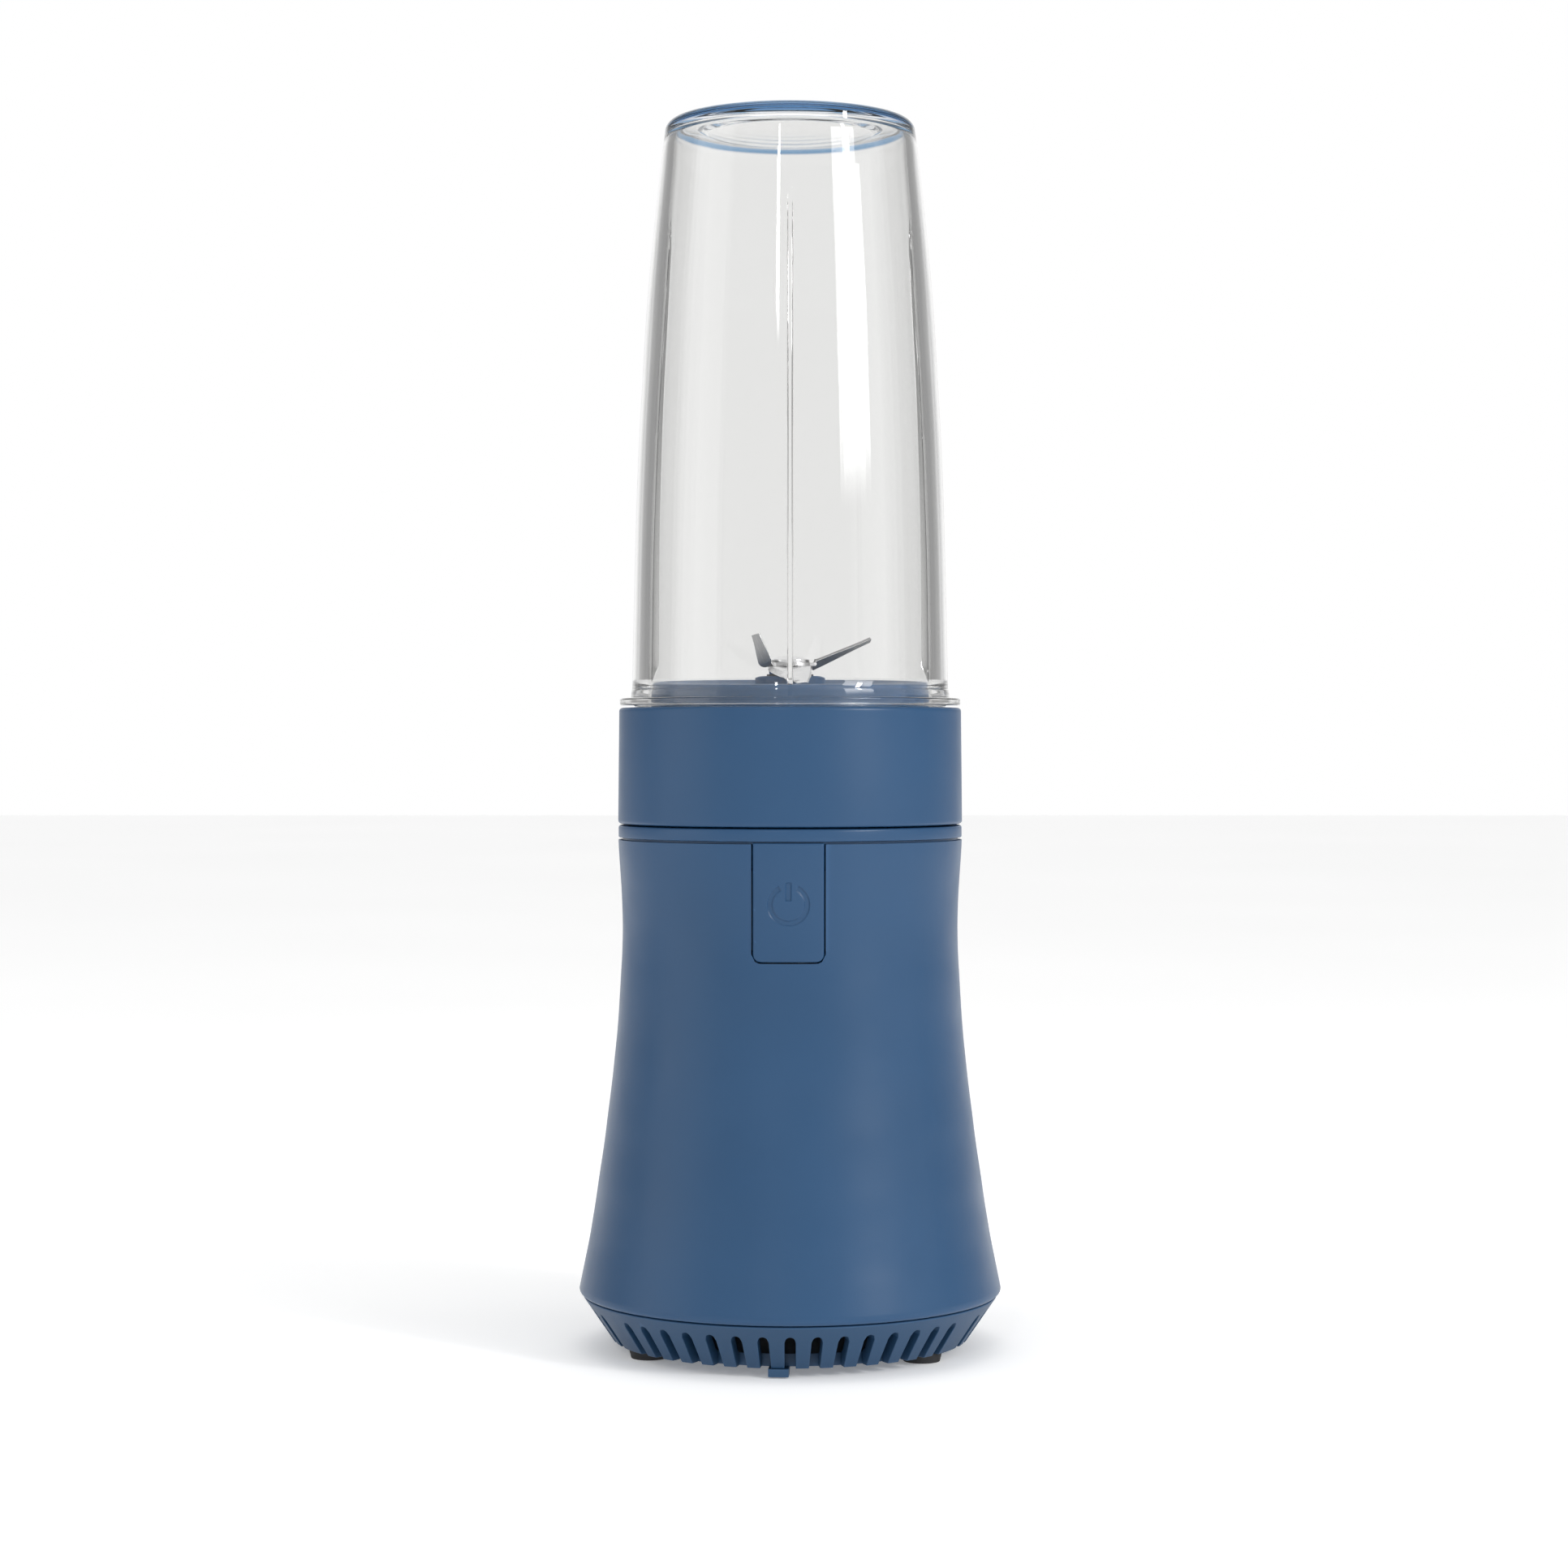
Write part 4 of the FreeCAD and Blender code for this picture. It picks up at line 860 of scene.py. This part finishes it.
def vent_skirt():
    """Conical skirt whose air slots run out through its bottom edge."""
    low = SKIRT_LOW.z
    lip_top = SKIRT_HIGH.z
    top = lip_top - 4.0
    inner_top = 11.6
    wide, narrow = SKIRT_HIGH.x, SKIRT_HIGH.x - 7.5
    lip_outer, lip_inner = 50.7, 49.4
    spring_line = SLOT_TOP - SLOT_HALF
    slope = (wide - narrow) / (top - 0.4 - low)
    crown_level, slot_steps = 9, 8
    plate = PLATE_HIGH.x + PLATE_GAP
    ledge = PLATE_HIGH.z + 0.3
    ledge_radius = plate + 0.9

    def outer_radius(height):
        return narrow + (height - low) * slope

    def inner_radius(height):
        if height < ledge:
            return plate
        share = (height - ledge) / (SLOT_TOP + 0.2 - ledge)
        return ledge_radius + share * (wide - 5.5 - ledge_radius)

    columns = []
    for row in range(3):
        for slot_number in range(SLOTS_IN_ROW):
            centre = TAU / 3 * row + (slot_number - (SLOTS_IN_ROW - 1) / 2) * SLOT_PITCH
            for step in range(slot_steps + 1):
                columns.append((centre, SLOT_HALF * (2 * step / slot_steps - 1), 0))
            columns.append((centre + SLOT_PITCH / 2, 0, 1))
        row_end = TAU / 3 * row + SLOTS_IN_ROW / 2 * SLOT_PITCH
        blank = TAU / 3 - SLOTS_IN_ROW * SLOT_PITCH
        for step in range(1, 4):
            columns.append((row_end + blank * step / 4, 0, 1))

    def level_height(column, level):
        centre, offset, plain = column
        crown = spring_line if plain else spring_line + math.sqrt(max(0, SLOT_HALF ** 2 - offset ** 2))
        if level <= crown_level:
            return low + (crown - low) * level / crown_level
        return crown + (inner_top + 1.0 - crown) * (level - crown_level) / 2

    def point(column, radius, height):
        centre, offset, plain = column
        return on_turn(radius, centre + math.asin(offset / radius), height)

    def outer(column, level):
        height = level_height(column, level)
        return point(column, outer_radius(height), height)

    def inner(column, level):
        height = level_height(column, level)
        return point(column, inner_radius(height), min(height, inner_top))

    def cap(column):
        over = [(wide, top - 0.4), (wide - 0.1, top - 0.12), (wide - 0.4, top), (lip_outer, top),
                (lip_outer, lip_top), (lip_inner, lip_top), (lip_inner, top - 2.0)]
        return [point(column, radius, height) for radius, height in over]

    vertices, faces = wall_with_openings(
        columns, crown_level + 3, outer, inner, cap,
        lambda first, second: not first[2] and not second[2] and first[0] == second[0], 0, crown_level)
    soften(new_piece("vent_skirt", vertices, faces, "motor_base", "skirt_blue", "vent_base", 35), 0.22, 2, 42)


# ------------------------------------------------------------------ blades
BLADE_THICKNESS = 0.9
GROUND_THICKNESS = 0.14
BLADE_HUB = 5.8


def blade_section(middle, across, upward, left, right, left_grind, right_grind):
    """Six points round a blade at a middle point, with its reach and the width of the grind on each side.

    A ground edge falls from the full thickness to a thin edge.
    """
    corners = ((-left, 0), (right, 0), (right, GROUND_THICKNESS), (right - right_grind, BLADE_THICKNESS),
               (-left + left_grind, BLADE_THICKNESS), (-left, GROUND_THICKNESS))
    return [middle + across * reach + upward * height for reach, height in corners]


def turned_by(across, face, degrees):
    """The two directions of a blade's section after a turn in its own plane."""
    turn = math.radians(degrees)
    return (across * math.cos(turn) - face * math.sin(turn), face * math.cos(turn) + across * math.sin(turn))


def arm_stations(base, direction, bend_radius, bend, length, twist, outline):
    """Stations of a blade's arm from the axis outwards: flat over the hub, a small bend, a straight run.

    Angles are in degrees. The run turns about its own length by the twist. outline gives (left reach,
    right reach, left grind, right grind) for a distance along the arm and its share of the arm's length.
    """
    heading = math.radians(direction)
    outwards = Vector((math.cos(heading), math.sin(heading), 0))
    across = Vector((-math.sin(heading), math.cos(heading), 0))
    up = Vector((0, 0, 1))
    tilt = math.radians(bend)
    knee = 1.6
    cut = knee * math.tan(abs(tilt) / 2)
    start = bend_radius - cut
    run = length - cut
    total = start + abs(tilt) * knee + run
    turns, flat_steps, run_steps = 8, 8, 14
    spots = [(start * step / flat_steps, 0.0) for step in range(flat_steps)]
    spots += [(start, abs(tilt) * step / turns) for step in range(turns + 1)]
    stations = []
    side = 1 if tilt > 0 else -1
    for spot, angle in spots:
        distance = spot + knee * angle
        place = outwards * (spot + knee * math.sin(angle)) + up * (base + side * knee * (1 - math.cos(angle)))
        face = up * math.cos(angle) - outwards * side * math.sin(angle)
        stations.append((place, *turned_by(across, face, angle / abs(tilt) * twist),
                         *outline(distance, distance / total)))
    knee_end = stations[-1][0]
    along = outwards * math.cos(tilt) + up * math.sin(tilt)
    face = up * math.cos(tilt) - outwards * math.sin(tilt)
    for step in range(1, run_steps + 1):
        forward = run * step / run_steps
        distance = total - run + forward
        stations.append((knee_end + along * forward, *turned_by(across, face, twist),
                         *outline(distance, distance / total)))
    return stations


def blade_piece(name, replaced, base, first_arm, second_arm):
    """One stamping from the tip of one arm over the hub to the tip of the other."""
    first = arm_stations(base, *first_arm)
    turned = [(place, across * -1, face, right, left, right_grind, left_grind)
              for place, across, face, left, right, left_grind, right_grind in reversed(first[1:])]
    stations = turned + arm_stations(base, *second_arm)
    vertices, faces = [], []
    add_sections(vertices, faces, [blade_section(*station) for station in stations])
    piece = new_piece(name, vertices, faces, "blades", "blade_steel", replaced, 25)
    soften(piece, 0.05, 2, 30)
    return piece


def taper(share, points):
    """A smooth value along shares from 0 to 1 through a few (share, value) points."""
    for (first, low), (second, high) in zip(points, points[1:]):
        if share <= second:
            return low + (high - low) * smooth_step(share, first, second)
    return points[-1][1]


def blades():
    """The lower blade bends down at the front and back; the upper one turns up at both sides."""
    def round_hub(distance, half):
        return max(half, math.sqrt(max(0, BLADE_HUB ** 2 - distance ** 2)))

    def swept(distance, share):
        left = taper(share, [(0, 5.7), (0.3, 5.6), (0.66, 1.4), (1, -1.6)])
        right = taper(share, [(0, 5.7), (0.3, 5.5), (1, 4.6)])
        grind = taper(share, [(0, 0.0), (0.2, 0.1), (0.42, 2.2), (1, 1.9)])
        return left, right, grind, 0.3

    def claw(distance, share):
        half = round_hub(distance, taper(share, [(0, 3.9), (0.4, 3.9), (1, 2.2)]))
        grind = taper(share, [(0, 0.1), (0.35, 0.1), (0.5, 1.5), (1, 1.3)])
        return half, half, 0.3, grind

    def wing(distance, share):
        half = round_hub(distance, taper(share, [(0, 3.9), (0.25, 3.9), (1, 1.5)]))
        grind = taper(share, [(0, 0.1), (0.25, 0.1), (0.35, 1.5), (1, 1.1)])
        return half, half, grind, 0.3

    lower_base = box_mm("lower_blade")[1].z - BLADE_THICKNESS
    upper_base = box_mm("blade_nut")[0].z - BLADE_THICKNESS - 0.02
    blade_piece("lower_cutter", "lower_blade", lower_base,
                (-90, 5.2, -27, 12.6, 0, swept), (90, 5.2, -27, 12.6, 0, swept))
    upper = blade_piece("upper_cutter", "upper_blade", upper_base,
                        (192, 6.2, 70, 8.6, -16, claw), (12, 6.2, 23.5, 16.6, 17, wing))
    # The upper cutter takes the darker copy of the steel: painted shade.
    upper.data.materials[0] = MATERIALS["arm_steel_painted_shade"]


cup()
collar()
well_ring()
motor_housing()
power_button()
key_spring()
vent_skirt()
blades()
bpy.context.view_layer.update()


# ------------------------------------------------------------------ CAD pieces kept as they are
def finish_cad_nodes():
    """Gives each CAD node that still shows its procedural material and soft edges."""
    slots = {row["node"]: row["material_slot"] for row in frame["record"]["subparts"]}
    for name, node in frame["nodes"].items():
        node.data.materials.clear()
        node.data.materials.append(MATERIALS[slots[name]])
        if node.hide_render:
            continue
        weld = node.modifiers.new("joined_faces", "WELD")
        weld.merge_threshold = WELD_REACH
        soften(node, 0.15, 2)


finish_cad_nodes()


# ------------------------------------------------------------------ stage
FLAG_START = 0.32
FLAG_END = 0.50
FLAG_LEVEL = 0.34
FRONT_LEVEL = 0.72


def area_light(name, azimuth, elevation, distance, width, height, watts, target=(0, 0, 0.16)):
    """A softbox aimed at the object. Azimuth 0 is the front, positive to the right."""
    light = bpy.data.lights.new(name, "AREA")
    light.shape = "RECTANGLE"
    light.size, light.size_y = width, height
    light.energy = watts
    turn, lift = math.radians(azimuth), math.radians(elevation)
    aim = Vector(target)
    spot = aim + Vector((math.sin(turn) * math.cos(lift), -math.cos(turn) * math.cos(lift),
                         math.sin(lift))) * distance
    lamp = bpy.data.objects.new(name, light)
    lamp.location = spot
    lamp.rotation_euler = (spot - aim).to_track_quat("Z", "Y").to_euler()
    bpy.context.scene.collection.objects.link(lamp)
    return lamp


def fading_end(lamp):
    """Makes a softbox fade out towards its lower end."""
    lamp.data.use_nodes = True
    tree = lamp.data.node_tree
    across = add_node(tree, "ShaderNodeNewGeometry")
    split = add_node(tree, "ShaderNodeSeparateXYZ")
    tree.links.new(across.outputs["Parametric"], split.inputs["Vector"])
    fade = mapped(tree, split.outputs["Y"], 0.0, 0.3)
    tree.links.new(fade, tree.nodes["Emission"].inputs["Strength"])


def white_studio():
    """White surroundings as seen by the camera. For other rays they are dimmer in front, and a dark flag
    behind on each side draws the edges of clear pieces."""
    world = bpy.data.worlds.new("white_studio")
    world.use_nodes = True
    tree = world.node_tree
    direction = add_node(tree, "ShaderNodeTexCoord")
    split = add_node(tree, "ShaderNodeSeparateXYZ")
    tree.links.new(direction.outputs["Generated"], split.inputs["Vector"])
    sideways = add_node(tree, "ShaderNodeMath", operation="ABSOLUTE")
    tree.links.new(split.outputs["X"], sideways.inputs[0])
    behind = mapped(tree, split.outputs["Y"], -0.05, 0.15)
    outside = product(tree, sideways.outputs["Value"], behind)
    flags = mapped(tree, outside, FLAG_START, FLAG_END, 1.0, FLAG_LEVEL)
    front = mapped(tree, split.outputs["Y"], -0.6, 0.1, FRONT_LEVEL, 1.0)
    seen = add_node(tree, "ShaderNodeLightPath")
    strength = add_node(tree, "ShaderNodeMix", data_type="FLOAT")
    tree.links.new(seen.outputs["Is Camera Ray"], strength.inputs["Factor"])
    tree.links.new(product(tree, flags, front), strength.inputs[2])
    strength.inputs[3].default_value = 1.0
    background = tree.nodes["Background"]
    background.inputs["Color"].default_value = (1, 1, 1, 1)
    tree.links.new(strength.outputs[0], background.inputs["Strength"])
    bpy.context.scene.world = world


def pale_floor():
    """A plain pale floor that gives off a little light."""
    bpy.ops.mesh.primitive_plane_add(size=12, location=(0, 0, 0))
    floor = bpy.context.object
    floor.name = "floor"
    material, tree, shader = node_material("pale_floor")
    shader.inputs["Roughness"].default_value = 0.9
    shader.inputs["Emission Color"].default_value = (1, 1, 1, 1)
    shader.inputs["Emission Strength"].default_value = 0.2
    tree.links.new(ramp(tree, noise(tree, 2, 2), grey(0.955), grey(0.975)), shader.inputs["Base Color"])
    floor.data.materials.append(material)


def softboxes():
    """Soft lights: the main one at the right, strips for the flare and the cup, and weak fills."""
    fading_end(area_light("right_softbox", 51, 17.5, 1.3, 0.5, 0.38, 4.4))
    area_light("flare_strip", 52, 28, 1.3, 0.07, 0.3, 2.6, (0, 0, 0.04))
    fading_end(area_light("thin_strip", -10, 18, 1.5, 0.05, 0.28, 1.4, (0, 0, 0.28)))
    area_light("top_softbox", 0, 75, 1.4, 1.0, 1.0, 1.5)
    area_light("left_fill", -75, 10, 1.6, 1.2, 1.4, 2.6)


def front_camera():
    """The camera in front, a little above the button, and how its picture is made."""
    scene = bpy.context.scene
    camera = bpy.data.cameras.new("camera")
    camera.lens = 75.33
    camera.sensor_width = 36
    camera.shift_x = -0.0039
    camera.shift_y = -0.0274
    viewer = bpy.data.objects.new("camera", camera)
    viewer.location = (0, -0.843, 0.155)
    viewer.rotation_euler = (math.radians(90), 0, 0)
    scene.collection.objects.link(viewer)
    scene.camera = viewer
    scene.view_settings.view_transform = "Standard"
    scene.cycles.max_bounces = 40
    scene.cycles.transmission_bounces = 40
    scene.cycles.glossy_bounces = 24


pale_floor()
white_studio()
softboxes()
front_camera()
